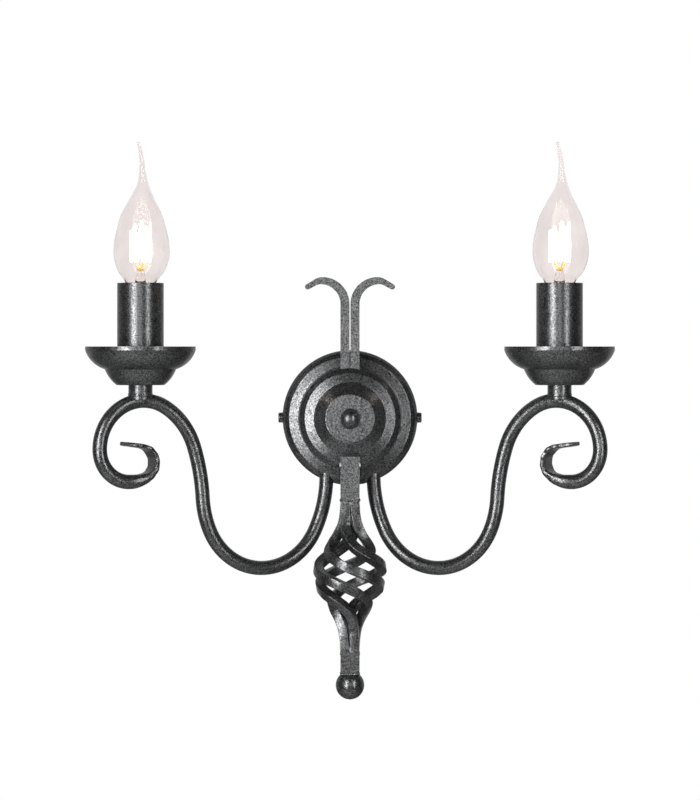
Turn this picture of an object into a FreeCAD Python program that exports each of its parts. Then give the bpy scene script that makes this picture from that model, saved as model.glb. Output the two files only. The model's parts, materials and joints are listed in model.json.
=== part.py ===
import FreeCAD, Part
import math
import os
from FreeCAD import Vector

# Two-arm torch sconce in wrought-iron style. Millimetres, +Z up.
# Origin: centre of the wall canopy on the wall plane. The wall is at +Y,
# the front looks along -Y, and a depth below is a distance out from the wall.

# ---- driving dimensions -------------------------------------------------
# square bar work
BAR = 5.9                 # side of the square bars
BAR_GAP = 0.4             # slit between two bars of the bundle
SPINE_BACK = 20.0         # depth of the back face of the spine
NECK_ABOVE_BAND = 1.4     # how far the neck's top end lies outside the canopy's band
SLIT_TOP = -42.4
SLIT_DEPTH = 2.0
BASKET_TOP = -53.5
BASKET_BOTTOM = -149.4
BASKET_RADIUS = 24.0      # to the outer corners of the strands
BASKET_TURN = 360.0       # twist of each strand, degrees
TWIST_EASE = 0.85         # how much slower the twist starts and ends
BASKET_SKEW = 0.944       # below 1 lifts the widest place
STRAND_SECTIONS = 25
FOOT_BOTTOM = -163.0
SEAM_HEIGHT = -155.7
SEAM = 0.5
FOOT_SLIT_END = -158.0
BALL_RADIUS = 9.15
BALL_CENTRE = -170.5

# fork on top of the spine
FORK_STRAIGHT_TOP = 73.0
FORK_OUTER_RADIUS = 17.3
FORK_INNER_RADIUS = 12.8
FORK_DROOP = 31.0         # turn past the top, degrees
FORK_DROOP_RADIUS = 9.2
FORK_TIP_LENGTH = 6.6
FORK_TIP_THICK = 3.4
FORK_INNER_DROOP = 5.7    # radius under the bend
FORK_GAP = 0.6

# canopy
CANOPY_RADIUS = 43.5
SHEET = 1.0
# from the rim inwards: how far each stretch comes in, and how far it rises
RIM_RISE = 8.0
RING_EDGE, RING_EDGE_RISE = 4.3, 5.0
RING_WIDTH, RING_RISE = 6.2, 1.0
WALL_TAPER, WALL_RISE = 0.5, 10.0
SHOULDER_WIDTH, SHOULDER_RISE = 3.5, 3.0
BAND_WIDTH, BAND_RISE = 6.0, 2.5
CONE_WIDTH, CONE_RISE = 6.8, 6.5
DISC_EDGE, DISC_RISE = 0.7, 0.5
EDGE_BULGE = (0.256, 0.72)      # shares of width and rise left at the middle of a rounded stretch
RING_BULGE = 0.75
SHOULDER_BULGE = (0.286, 0.667)
NOTCH_CLEAR = 0.5         # between the canopy and the bars that pass through it

# wall bracket
BRACKET_THICK = 2.0
BRACKET_HALF_HEIGHT = 9.0
EAR_THICK = 2.5
EAR_GAP = 0.6             # between the ear's corners and the canopy wall
EAR_DEPTH = 8.6
WALL_SLOT_SPACING = 50.0
WALL_SLOT_LENGTH = 12.0
WALL_SLOT_WIDTH = 5.0

# fixings: nominal thread radius, pitch is in the record's couplings
RUNNING = 0.05            # radial clearance of a thread drawn as a plain shank
SCREW_R = 2.0
SCREW_DEPTH = 4.5
SCREW_LENGTH = 6.6
SCREW_HEAD_R = 3.25
SCREW_HEAD = 2.2
SCREW_SLOT = 0.8
WASHER_R = 3.5
WASHER_THICK = 0.45
SEAT_GAP = 0.05           # between faces that meet and then part
PAST = 1.0                # how far a cutting tool runs past a face
SCREW_HEAD_ROUND = 0.7
CANOPY_HOLE_CLEAR = 0.25
STUD_R = 3.0
STUD_FLANGE_R = 6.0
STUD_FLANGE = 2.0
FINIAL_WASHER_R = 4.6
FINIAL_WASHER = 1.2
FINIAL_R = 6.5
FINIAL_FLAT = 5.6         # from the ball's centre to its flat seat
STUD_GRIP = 7.2           # stud inside the ball
BORE_SPARE = 1.2

# arms: a tube in an upright plane turned towards the front
TUBE_R = 4.55
TUBE_BORE_R = 3.5
ARM_X = 15.2
ARM_DEPTH = 8.0
ARM_TURN = 30.0
ARM_TOP = -20.0
ARM_HOLE_CLEAR = 0.4
ARM_RUN = 17.0
ARM_ARCS = [(77.0, 27.5), (42.2, 129.0), (60.0, 20.0), (130.0, -14.5), (46.0, -41.0), (30.0, -121.0)]
CURL_ARC = (20.5, -90.0)
CURL_STEP = 0.2           # the forged end starts this much inside the tube's surface
CURL_EDGE_ARCS = [(20.0, -40.0), (15.0, -50.0), (12.0, -82.0)]
CURL_TIP = 12.0
CURL_WIDTH = 13.3
CURL_THICK = 2.6
CURL_TIP_WIDTH = 11.6
CURL_TIP_THICK = 2.2
CURL_ROUND = 0.96         # corner radius of the section over half its thickness, round part
CURL_FLAT_ROUND = 0.75    # the same, flattened part
CUP_OFFSET = 1.975        # from the centre of the arm's arch to the cup, outwards in the arm's plane

# cup, candle and lampholder; heights above the row's zero
CUP_BOTTOM = 21.9
CUP_HEIGHT = 24.0
CUP_FLAT_R = 15.0
CUP_WAIST_R = 22.2
CUP_WAIST = 9.8
CUP_RIM_R = 34.4
CUP_LIP = 2.4
CUP_FOOT_BULGE = (4.1, 4.2)     # middle of the lower bowl's arc, out from the flat and up from the foot
CUP_RIM_BULGE = (4.4, 4.7)      # middle of the upper bowl's arc, in from the rim and up from the waist
SOCKET_R = 7.5
SOCKET_BOTTOM = 13.0
NIPPLE_R = 4.95
NIPPLE_BORE_R = 3.6
NIPPLE_START = 17.6
NIPPLE_GRIP = 9.0
NUT_FLATS = 14.0
NUT_THICK = 2.7
HOLDER_R = 12.0
HOLDER_TOP = 75.0
HOLDER_WEB = 9.0
HOLDER_BORE_R = 8.2
LEAD_HOLE_R = 1.6
SHELL_THICK = 0.5
SHELL_TOP = 73.5
SLEEVE_R = 14.5
SLEEVE_TOP = 85.5
SLEEVE_LIFT = 0.9         # seat of the sleeve above the cup's floor
SLEEVE_ROUND = 0.45

# bulb; heights above its contact
BULB_SEAT = 48.4
CAP_R = 6.95
CAP_WALL = 0.3
CAP_BOTTOM = 3.2
CAP_ROUND = 2.0
CAP_FLOOR = 2.5
CAP_IN_SHELL = 0.07       # radial clearance between cap and shell
CAP_TOP = 26.0
CONTACT_R = 2.4
GLASS_WALL = 0.8
GLASS_INTO_CAP = 3.0
GLASS_CAP_CLEAR = 0.25
# height, radius, sideways lean of the blown flame
FLAME = [(32.0, 8.0, 0.0), (38.0, 9.9, 0.2), (44.0, 14.2, 0.5), (52.0, 17.0, 0.7), (60.0, 17.3, 0.7),
         (70.0, 15.6, 0.7), (80.0, 12.6, 0.7), (90.0, 7.4, 0.9), (98.0, 3.8, 1.5), (108.0, 1.9, 1.2),
         (118.0, 1.4, 0.2), (125.0, 1.1, -1.4)]
HOLLOW_STATIONS = 9       # stations of the flame that are hollow
STEM_R = 5.4
STEM_TOP_R = 2.2
STEM_TOP = 46.0
FILAMENT_WIRE_R = 0.35
FILAMENT_BEND_R = 4.0
FILAMENT_LEG = 18.0

# wiring and inner frame
LEAD_R = 1.5
LEAD_BEND_R = 5.0
LEAD_S_RADIUS = 10.0
LEAD_S_TURN = 45.0
LEAD_PORT_X = 6.0
TERMINAL = (24.0, 9.0, 14.0)
TERMINAL_BOTTOM = 4.5
TERMINAL_SCREW_R = 1.5
PLATE_SIDE_GAP = 1.5      # from the plate's edge to the canopy's wall
PLATE_THICK = 3.0
PLATE_GAP = 0.05
SPACER_HALF_HEIGHT = 20.0
EARTH_X = 12.0
EARTH_THREAD_R = 1.95
EARTH_HEAD_R = 3.5
EARTH_HEAD = 2.0
SHANK_END = 0.3           # the earth screw stops this far short of the wall

# ---- sizes that follow --------------------------------------------------
RIM_DEPTH = RIM_RISE
RING_OUTER = CANOPY_RADIUS - RING_EDGE
RING_DEPTH = RIM_DEPTH + RING_EDGE_RISE
RING_INNER = RING_OUTER - RING_WIDTH
RING_CROWN = RING_DEPTH + RING_RISE
DOME_RADIUS = RING_INNER - WALL_TAPER
STEP_DEPTH = RING_CROWN + WALL_RISE
SHOULDER_RADIUS = DOME_RADIUS - SHOULDER_WIDTH
SHOULDER_DEPTH = STEP_DEPTH + SHOULDER_RISE
BAND_RADIUS = SHOULDER_RADIUS - BAND_WIDTH
BAND_DEPTH = SHOULDER_DEPTH + BAND_RISE
NECK_TOP = -BAND_RADIUS - NECK_ABOVE_BAND
PLATE_R = DOME_RADIUS - SHEET - PLATE_SIDE_GAP
CONE_RADIUS = BAND_RADIUS - CONE_WIDTH
CONE_DEPTH = BAND_DEPTH + CONE_RISE
DISC_RADIUS = CONE_RADIUS - DISC_EDGE
DISC_DEPTH = CONE_DEPTH + DISC_RISE
BUNDLE = 2 * BAR + BAR_GAP
SPINE_AXIS = SPINE_BACK + BUNDLE / 2
STRAND_START_R = (BAR + BAR_GAP) / 2 * math.sqrt(2)
HALF_DIAGONAL = BAR / math.sqrt(2)
FORK_FRONT = SPINE_BACK + BAR
CANOPY_INNER = CANOPY_RADIUS - SHEET
EAR_OUTER = math.sqrt((CANOPY_INNER - EAR_GAP) ** 2 - BRACKET_HALF_HEIGHT ** 2)
PLATE_BACK = ARM_DEPTH + TUBE_R + PLATE_GAP
PLATE_FRONT = PLATE_BACK + PLATE_THICK
CUP_FLOOR = CUP_BOTTOM + SHEET
HOLDER_BOTTOM = CUP_FLOOR + NUT_THICK
NIPPLE_TOP = HOLDER_BOTTOM + NIPPLE_GRIP
WEB_TOP = NIPPLE_TOP + HOLDER_WEB
SLEEVE_BORE_R = SLEEVE_R - SHEET
WASHER_SEAT = DISC_DEPTH + SEAT_GAP
BALL_SEAT = WASHER_SEAT + FINIAL_WASHER + SEAT_GAP
SCREW_SEAT = CANOPY_RADIUS + SEAT_GAP
HEAD_SEAT = SCREW_SEAT + WASHER_THICK + SEAT_GAP
COS_TURN = math.cos(math.radians(ARM_TURN))
SIN_TURN = math.sin(math.radians(ARM_TURN))

X = Vector(1, 0, 0)
Y = Vector(0, 1, 0)
Z = Vector(0, 0, 1)


# ---- helpers ------------------------------------------------------------
def at(x, depth, z):
    """A point from its side place, its depth out from the wall and its height."""
    return Vector(x, -depth, z)


def block(x, depth, z):
    """A box from three (low, high) pairs; the middle pair is a depth."""
    return Part.makeBox(x[1] - x[0], depth[1] - depth[0], z[1] - z[0], at(x[0], depth[1], z[0]))


def rod(radius, start, end):
    """A round bar between two points."""
    return Part.makeCylinder(radius, start.distanceToPoint(end), start, end - start)


def line(a, b):
    return Part.LineSegment(a, b).toShape()


def arc(a, mid, b):
    return Part.Arc(a, mid, b).toShape()


def turned(edges, axis_point, axis):
    """A solid of revolution from a closed outline."""
    face = Part.Face(Part.Wire(Part.__sortEdges__(edges)))
    return face.revolve(axis_point, axis, 360)


class Track:
    """A path of runs and tangent arcs in an upright plane, swept by a round section."""

    def __init__(self, origin, along, start, heading):
        self.origin = origin
        self.along = along
        self.normal = along.cross(Z)
        self.q, self.z = start
        self.heading = math.radians(heading)

    def point(self, q, z):
        return self.origin + self.along * q + Z * z

    def here(self):
        return self.point(self.q, self.z)

    def tangent(self):
        return self.along * math.cos(self.heading) + Z * math.sin(self.heading)

    def section(self, radius):
        circle = Part.Circle(self.here(), self.tangent(), radius).toShape()
        return Part.Face(Part.Wire([circle]))

    def run(self, length, radius):
        solid = self.section(radius).extrude(self.tangent() * length)
        self.q += length * math.cos(self.heading)
        self.z += length * math.sin(self.heading)
        return solid

    def centre(self, radius, turn):
        side = math.copysign(1.0, turn)
        return (self.q - side * radius * math.sin(self.heading), self.z + side * radius * math.cos(self.heading))

    def turn(self, arc_radius, turn):
        """Moves on along an arc without making a solid."""
        side = math.copysign(1.0, turn)
        q, z = self.centre(arc_radius, turn)
        self.heading += math.radians(turn)
        self.q = q + side * arc_radius * math.sin(self.heading)
        self.z = z - side * arc_radius * math.cos(self.heading)

    def bend(self, arc_radius, turn, radius):
        side = math.copysign(1.0, turn)
        q, z = self.centre(arc_radius, turn)
        solid = self.section(radius).revolve(self.point(q, z), self.normal * side, abs(turn))
        self.turn(arc_radius, turn)
        return solid


def joined(solids):
    """One solid from pieces that meet face to face."""
    whole = solids[0].fuse(solids[1:]) if len(solids) > 1 else solids[0]
    return whole.removeSplitter()


def arm_track():
    along = Vector(-COS_TURN, -SIN_TURN, 0)
    return Track(at(-ARM_X, ARM_DEPTH, 0), along, (0.0, ARM_TOP), -90.0)


def cup_reach():
    """Distance from the canopy's hole to the cup, in the arm's plane: past the centre of the arch."""
    track = arm_track()
    track.z -= ARM_RUN
    for arc_radius, turn in ARM_ARCS[:-1]:
        track.turn(arc_radius, turn)
    return track.centre(*ARM_ARCS[-1])[0] + CUP_OFFSET


def cup_axis():
    return arm_track().point(cup_reach(), 0)


def mirrored(shape):
    """The right-hand piece, from the left-hand one."""
    return shape.mirror(Vector(0, 0, 0), X)


# ---- wall side ----------------------------------------------------------
def wall_slot(x):
    half = (WALL_SLOT_LENGTH - WALL_SLOT_WIDTH) / 2
    radius = WALL_SLOT_WIDTH / 2
    reach = (-1, BRACKET_THICK + 1)
    slot = block((x - half, x + half), reach, (-radius, radius))
    for end in (x - half, x + half):
        slot = slot.fuse(rod(radius, at(end, reach[0], 0), at(end, reach[1], 0)))
    return slot


def wall_bracket():
    """A strap with two slots and an ear bent forward at each end for the side screws."""
    high = (-BRACKET_HALF_HEIGHT, BRACKET_HALF_HEIGHT)
    shape = block((-EAR_OUTER, EAR_OUTER), (0, BRACKET_THICK), high)
    for side in (-1, 1):
        ends = sorted((side * EAR_OUTER, side * (EAR_OUTER - EAR_THICK)))
        ear = block(ends, (0, EAR_DEPTH), high)
        shape = shape.fuse(ear)
        inner = side * (EAR_OUTER - EAR_THICK - 1)
        shape = shape.cut(rod(SCREW_R, at(inner, SCREW_DEPTH, 0), at(side * (EAR_OUTER + 1), SCREW_DEPTH, 0)))
        shape = shape.cut(wall_slot(side * WALL_SLOT_SPACING / 2))
    earth = rod(EARTH_THREAD_R, at(EARTH_X, -1, 0), at(EARTH_X, BRACKET_THICK + 1, 0))
    return shape.cut(earth).removeSplitter()


def earth_screw():
    head = rod(EARTH_HEAD_R, at(EARTH_X, BRACKET_THICK, 0), at(EARTH_X, BRACKET_THICK + EARTH_HEAD, 0))
    shank = rod(EARTH_THREAD_R, at(EARTH_X, SHANK_END, 0), at(EARTH_X, BRACKET_THICK, 0))
    slot = block((EARTH_X - EARTH_HEAD_R, EARTH_X + EARTH_HEAD_R),
                 (BRACKET_THICK + EARTH_HEAD / 2, BRACKET_THICK + EARTH_HEAD + 1), (-SCREW_SLOT / 2, SCREW_SLOT / 2))
    return head.fuse(shank).cut(slot)


def canopy_outline(inset):
    """Half outline of the pressed canopy; the inner face is the outer one moved in by the sheet."""
    def spot(radius, depth):
        return at(max(radius - inset, 0), depth - inset, 0)
    start = at(CANOPY_RADIUS - inset, -inset, 0)
    corners = [
        line(start, spot(CANOPY_RADIUS, RIM_DEPTH)),
        arc(spot(CANOPY_RADIUS, RIM_DEPTH),
            spot(CANOPY_RADIUS - RING_EDGE * EDGE_BULGE[0], RIM_DEPTH + RING_EDGE_RISE * EDGE_BULGE[1]),
            spot(RING_OUTER, RING_DEPTH)),
        arc(spot(RING_OUTER, RING_DEPTH), spot(RING_OUTER - RING_WIDTH / 2, RING_DEPTH + RING_RISE * RING_BULGE),
            spot(RING_INNER, RING_CROWN)),
        line(spot(RING_INNER, RING_CROWN), spot(DOME_RADIUS, STEP_DEPTH)),
        arc(spot(DOME_RADIUS, STEP_DEPTH),
            spot(DOME_RADIUS - SHOULDER_WIDTH * SHOULDER_BULGE[0], STEP_DEPTH + SHOULDER_RISE * SHOULDER_BULGE[1]),
            spot(SHOULDER_RADIUS, SHOULDER_DEPTH)),
        line(spot(SHOULDER_RADIUS, SHOULDER_DEPTH), spot(BAND_RADIUS, BAND_DEPTH)),
        line(spot(BAND_RADIUS, BAND_DEPTH), spot(CONE_RADIUS, CONE_DEPTH)),
        line(spot(CONE_RADIUS, CONE_DEPTH), spot(DISC_RADIUS, DISC_DEPTH)),
        line(spot(DISC_RADIUS, DISC_DEPTH), at(0, DISC_DEPTH - inset, 0)),
        line(at(0, DISC_DEPTH - inset, 0), at(0, -inset, 0)),
        line(at(0, -inset, 0), start),
    ]
    return corners


def canopy():
    """Pressed shell with slots for the spine and holes for the arms, the screws and the stud."""
    centre = Vector(0, 0, 0)
    shape = turned(canopy_outline(0.0), centre, Y).cut(turned(canopy_outline(SHEET), centre, Y))
    half = BUNDLE / 2 + NOTCH_CLEAR
    back = SPINE_BACK - NOTCH_CLEAR
    below = block((-half, half), (back, DISC_DEPTH), (-CANOPY_RADIUS, NECK_TOP))
    above = block((-half, half), (back, FORK_FRONT + NOTCH_CLEAR), (SHOULDER_RADIUS - 2 * SHEET, CANOPY_RADIUS))
    shape = shape.cut(below).cut(above)
    for side in (-1, 1):
        inside = at(side * ARM_X, ARM_DEPTH, ARM_TOP)
        outside = at(side * ARM_X, ARM_DEPTH, -CANOPY_RADIUS - PAST)
        arm_hole = rod(TUBE_R + ARM_HOLE_CLEAR, inside, outside)
        screw_hole = rod(SCREW_R + CANOPY_HOLE_CLEAR, at(side * PLATE_R, SCREW_DEPTH, 0),
                         at(side * (CANOPY_RADIUS + PAST), SCREW_DEPTH, 0))
        shape = shape.cut(arm_hole).cut(screw_hole)
    stud_hole = rod(STUD_R + CANOPY_HOLE_CLEAR, at(0, BAND_DEPTH, 0), at(0, DISC_DEPTH + 1, 0))
    return shape.cut(stud_hole)


def canopy_screw():
    """Left-hand side screw, slotted head outwards."""
    head = rod(SCREW_HEAD_R, at(-HEAD_SEAT, SCREW_DEPTH, 0), at(-HEAD_SEAT - SCREW_HEAD, SCREW_DEPTH, 0))
    head = head.makeFillet(SCREW_HEAD_ROUND, [edge for edge in head.Edges if edge.CenterOfMass.x < -HEAD_SEAT - SCREW_HEAD + 0.01])
    shank = rod(SCREW_R - RUNNING, at(-HEAD_SEAT, SCREW_DEPTH, 0), at(-HEAD_SEAT + SCREW_LENGTH, SCREW_DEPTH, 0))
    slot = block((-HEAD_SEAT - SCREW_HEAD - 1, -HEAD_SEAT - SCREW_HEAD / 2),
                 (SCREW_DEPTH - SCREW_SLOT / 2, SCREW_DEPTH + SCREW_SLOT / 2), (-SCREW_HEAD_R, SCREW_HEAD_R))
    return head.fuse(shank).cut(slot)


def screw_washer():
    disc = rod(WASHER_R, at(-SCREW_SEAT, SCREW_DEPTH, 0), at(-SCREW_SEAT - WASHER_THICK, SCREW_DEPTH, 0))
    return disc.cut(rod(SCREW_R, at(-SCREW_SEAT + 1, SCREW_DEPTH, 0), at(-SCREW_SEAT - 2, SCREW_DEPTH, 0)))


# ---- inner frame --------------------------------------------------------
def back_plate():
    """Round plate that the arms are welded to at the back and the spine at the front."""
    return rod(PLATE_R, at(0, PLATE_BACK, 0), at(0, PLATE_FRONT, 0))


def spine_spacer():
    half = BUNDLE / 2
    return block((-half, half), (PLATE_FRONT, SPINE_BACK), (-SPACER_HALF_HEIGHT, SPACER_HALF_HEIGHT))


def finial_stud():
    flange = rod(STUD_FLANGE_R, at(0, FORK_FRONT, 0), at(0, FORK_FRONT + STUD_FLANGE, 0))
    shank = rod(STUD_R - RUNNING, at(0, FORK_FRONT, 0), at(0, BALL_SEAT + STUD_GRIP, 0))
    return flange.fuse(shank)


def finial_washer():
    disc = rod(FINIAL_WASHER_R, at(0, WASHER_SEAT, 0), at(0, WASHER_SEAT + FINIAL_WASHER, 0))
    return disc.cut(rod(STUD_R, at(0, WASHER_SEAT - 1, 0), at(0, BALL_SEAT, 0)))


def finial_ball():
    """Ball nut with a flat seat and a blind bore."""
    centre = at(0, BALL_SEAT + FINIAL_FLAT, 0)
    ball = Part.makeSphere(FINIAL_R, centre)
    behind = block((-FINIAL_R, FINIAL_R), (BALL_SEAT - FINIAL_R, BALL_SEAT), (-FINIAL_R, FINIAL_R))
    bore = rod(STUD_R, at(0, BALL_SEAT - 1, 0), at(0, BALL_SEAT + STUD_GRIP + BORE_SPARE, 0))
    return ball.cut(behind).cut(bore)


# ---- spine --------------------------------------------------------------
def polar(centre_x, centre_z, radius, angle):
    """A point on an arc of the fork; the angle is measured from +X towards +Z."""
    turn = math.radians(angle)
    return Vector(centre_x + radius * math.cos(turn), -FORK_FRONT, centre_z + radius * math.sin(turn))


def fork_bar():
    """Right-hand horn of the fork: straight, bent outwards, then a thinned drooping tip."""
    inner_x = FORK_GAP / 2
    outer_x = BUNDLE / 2
    top = FORK_STRAIGHT_TOP
    big_x = inner_x + FORK_OUTER_RADIUS
    small_x = outer_x + FORK_INNER_RADIUS
    crown = top + FORK_OUTER_RADIUS
    under = top + FORK_INNER_RADIUS
    droop_end = 90.0 - FORK_DROOP
    shoulder = polar(big_x, crown - FORK_DROOP_RADIUS, FORK_DROOP_RADIUS, droop_end)
    lower_radius = FORK_INNER_DROOP
    armpit = polar(small_x, under - lower_radius, lower_radius, droop_end)
    slope = Vector(math.cos(math.radians(FORK_DROOP)), 0, -math.sin(math.radians(FORK_DROOP)))
    across = Vector(-math.sin(math.radians(FORK_DROOP)), 0, -math.cos(math.radians(FORK_DROOP)))
    tip_top = shoulder + slope * FORK_TIP_LENGTH
    tip_low = tip_top + across * FORK_TIP_THICK
    tip_mid = tip_top + across * (FORK_TIP_THICK / 2) + slope * (FORK_TIP_THICK / 2)
    foot_in = Vector(inner_x, -FORK_FRONT, NECK_TOP)
    foot_out = Vector(outer_x, -FORK_FRONT, NECK_TOP)
    outline = [
        line(foot_in, polar(big_x, top, FORK_OUTER_RADIUS, 180)),
        arc(polar(big_x, top, FORK_OUTER_RADIUS, 180), polar(big_x, top, FORK_OUTER_RADIUS, 135),
            polar(big_x, top, FORK_OUTER_RADIUS, 90)),
        arc(polar(big_x, crown - FORK_DROOP_RADIUS, FORK_DROOP_RADIUS, 90),
            polar(big_x, crown - FORK_DROOP_RADIUS, FORK_DROOP_RADIUS, 90 - FORK_DROOP / 2), shoulder),
        line(shoulder, tip_top),
        arc(tip_top, tip_mid, tip_low),
        line(tip_low, armpit),
        arc(armpit, polar(small_x, under - lower_radius, lower_radius, 90 - FORK_DROOP / 2),
            polar(small_x, under - lower_radius, lower_radius, 90)),
        arc(polar(small_x, top, FORK_INNER_RADIUS, 90), polar(small_x, top, FORK_INNER_RADIUS, 135),
            polar(small_x, top, FORK_INNER_RADIUS, 180)),
        line(polar(small_x, top, FORK_INNER_RADIUS, 180), foot_out),
        line(foot_out, foot_in),
    ]
    return Part.Face(Part.Wire(outline)).extrude(Vector(0, BAR, 0))


def bundle(bottom, top):
    half = BUNDLE / 2
    return block((-half, half), (SPINE_BACK, SPINE_BACK + BUNDLE), (bottom, top))


def slits(bottom, top):
    """Grooves between the bars of the bundle, on all four sides."""
    half = BUNDLE / 2
    gap = (-BAR_GAP / 2, BAR_GAP / 2)
    cuts = []
    for near in (SPINE_BACK - 1, SPINE_BACK + BUNDLE - SLIT_DEPTH):
        cuts.append(block(gap, (near, near + SLIT_DEPTH + 1), (bottom, top)))
    for near in (-half - 1, half - SLIT_DEPTH):
        cuts.append(block((near, near + SLIT_DEPTH + 1), (SPINE_AXIS + gap[0], SPINE_AXIS + gap[1]), (bottom, top)))
    return cuts


def basket_neck():
    return bundle(BASKET_TOP, NECK_TOP).cut(slits(BASKET_TOP - 1, SLIT_TOP))


def basket_foot():
    """Welded lower end of the bundle with its weld seam."""
    shape = bundle(FOOT_BOTTOM, BASKET_BOTTOM).cut(slits(FOOT_SLIT_END, BASKET_BOTTOM + 1))
    half = BUNDLE / 2
    ring = block((-half - 1, half + 1), (SPINE_BACK - 1, SPINE_BACK + BUNDLE + 1), (SEAM_HEIGHT, SEAM_HEIGHT + SEAM))
    core = block((-half + SEAM, half - SEAM), (SPINE_BACK + SEAM, SPINE_BACK + BUNDLE - SEAM),
                 (SEAM_HEIGHT, SEAM_HEIGHT + SEAM))
    return shape.cut(ring.cut(core))


def basket_ball():
    ball = Part.makeSphere(BALL_RADIUS, at(0, SPINE_AXIS, BALL_CENTRE))
    crop = block((-BALL_RADIUS, BALL_RADIUS), (SPINE_AXIS - BALL_RADIUS, SPINE_AXIS + BALL_RADIUS),
                 (FOOT_BOTTOM, BALL_CENTRE + 2 * BALL_RADIUS))
    return ball.cut(crop)


def strand_place(share, start_angle):
    """Centre of a strand's section at a share of the basket's height, from the top down."""
    swell = math.sin(math.pi * share ** BASKET_SKEW) ** 4
    radius = STRAND_START_R + (BASKET_RADIUS - HALF_DIAGONAL - STRAND_START_R) * swell
    turned_share = share - TWIST_EASE * math.sin(2 * math.pi * share) / (2 * math.pi)
    angle = math.radians(start_angle + BASKET_TURN * turned_share)
    height = BASKET_TOP + (BASKET_BOTTOM - BASKET_TOP) * share
    return Vector(radius * math.cos(angle), -SPINE_AXIS + radius * math.sin(angle), height), angle


def strand_section(share, start_angle):
    """Square section with one corner pointing away from the basket's axis."""
    place, angle = strand_place(share, start_angle)
    outward = Vector(math.cos(angle), math.sin(angle), 0)
    if 0.0 < share < 1.0:
        step = 0.002
        tangent = strand_place(share + step, start_angle)[0] - strand_place(share - step, start_angle)[0]
    else:
        tangent = -Z
    tangent.normalize()
    outward = outward - tangent * outward.dot(tangent)
    outward.normalize()
    across = tangent.cross(outward)
    spots = [place + outward * HALF_DIAGONAL, place + across * HALF_DIAGONAL,
             place - outward * HALF_DIAGONAL, place - across * HALF_DIAGONAL]
    return Part.makePolygon(spots + spots[:1])


def basket_strand(number):
    """One of four twisted square rods of the basket, numbered round from the front right."""
    start_angle = -45.0 - 90.0 * number
    shares = [i / (STRAND_SECTIONS - 1) for i in range(STRAND_SECTIONS)]
    return Part.makeLoft([strand_section(share, start_angle) for share in shares], True, False)


# ---- arms ---------------------------------------------------------------
def arm_tube(radius):
    track = arm_track()
    pieces = [track.run(ARM_RUN, radius)]
    for arc_radius, turn in ARM_ARCS + [CURL_ARC]:
        pieces.append(track.bend(arc_radius, turn, radius))
    return joined(pieces), track


def curl_section(track, edge, heading, width, thick, roundness):
    """A round-cornered section whose outer face lies on the curl's outer edge line."""
    turn = math.radians(heading)
    inward = track.along * math.sin(turn) - Z * math.cos(turn)
    middle = track.point(edge[0], edge[1]) + inward * (thick / 2)
    radius = roundness * thick / 2
    wide = width / 2 - radius
    deep = thick / 2 - radius
    edges = []
    for across, through in ((1, 1), (-1, 1), (-1, -1), (1, -1)):
        corner = middle + track.normal * (across * wide) + inward * (through * deep)
        side = corner + track.normal * (across * radius)
        face = corner + inward * (through * radius)
        lean = (track.normal * across + inward * through) * (radius / math.sqrt(2))
        first, last = (side, face) if across == through else (face, side)
        if edges:
            edges.append(line(edges[-1].Vertexes[-1].Point, first))
        edges.append(arc(first, corner + lean, last))
    edges.append(line(edges[-1].Vertexes[-1].Point, edges[0].Vertexes[0].Point))
    return Part.Wire(edges)


def curl_end(track):
    """The hammered end of the arm: round, then flattened to a ribbon that turns inwards."""
    round_d = 2 * (TUBE_R - CURL_STEP)
    heading = math.degrees(track.heading)
    turn = track.heading
    start = (track.q - TUBE_R * math.sin(turn), track.z + TUBE_R * math.cos(turn))
    stepped = (start[0] + CURL_STEP * math.sin(turn), start[1] - CURL_STEP * math.cos(turn))
    sections = [curl_section(track, stepped, heading, round_d, round_d, CURL_ROUND)]
    edge = Track(track.origin, track.along, start, heading)
    total = sum(abs(arc_turn) for _, arc_turn in CURL_EDGE_ARCS[:2])
    done = 0.0
    steps = 4
    for arc_radius, arc_turn in CURL_EDGE_ARCS:
        centre_q, centre_z = edge.centre(arc_radius, arc_turn)
        for i in range(1, steps + 1):
            part_turn = arc_turn * i / steps
            angle = edge.heading + math.radians(part_turn)
            place = (centre_q - arc_radius * math.sin(angle), centre_z + arc_radius * math.cos(angle))
            share = min(1.0, (done + abs(part_turn)) / total)
            ease = share * share * (3 - 2 * share)
            width = round_d + (CURL_WIDTH - round_d) * ease
            thick = round_d + (CURL_THICK - round_d) * ease
            roundness = CURL_ROUND + (CURL_FLAT_ROUND - CURL_ROUND) * ease
            sections.append(curl_section(track, place, math.degrees(angle), width, thick, roundness))
        done += abs(arc_turn)
        edge.heading += math.radians(arc_turn)
        edge.q, edge.z = place
    for share in (0.4, 0.75, 1.0):
        run = CURL_TIP * share
        place = (edge.q + run * math.cos(edge.heading), edge.z + run * math.sin(edge.heading))
        width = CURL_WIDTH + (CURL_TIP_WIDTH - CURL_WIDTH) * share ** 3
        thick = CURL_THICK + (CURL_TIP_THICK - CURL_THICK) * share
        sections.append(curl_section(track, place, math.degrees(edge.heading), width, thick, CURL_FLAT_ROUND))
    return Part.makeLoft(sections, True, False)


def arm():
    """Left-hand arm: a bent tube with a wire hole under the cup and a flattened end."""
    outer, track = arm_tube(TUBE_R)
    bore, _ = arm_tube(TUBE_BORE_R)
    axis = cup_axis()
    wire_hole = rod(NIPPLE_BORE_R, axis + Z * (NIPPLE_START - 2 * TUBE_R), axis + Z * (NIPPLE_START + TUBE_R))
    return outer.fuse(curl_end(track)).cut(bore).cut(wire_hole)


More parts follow.
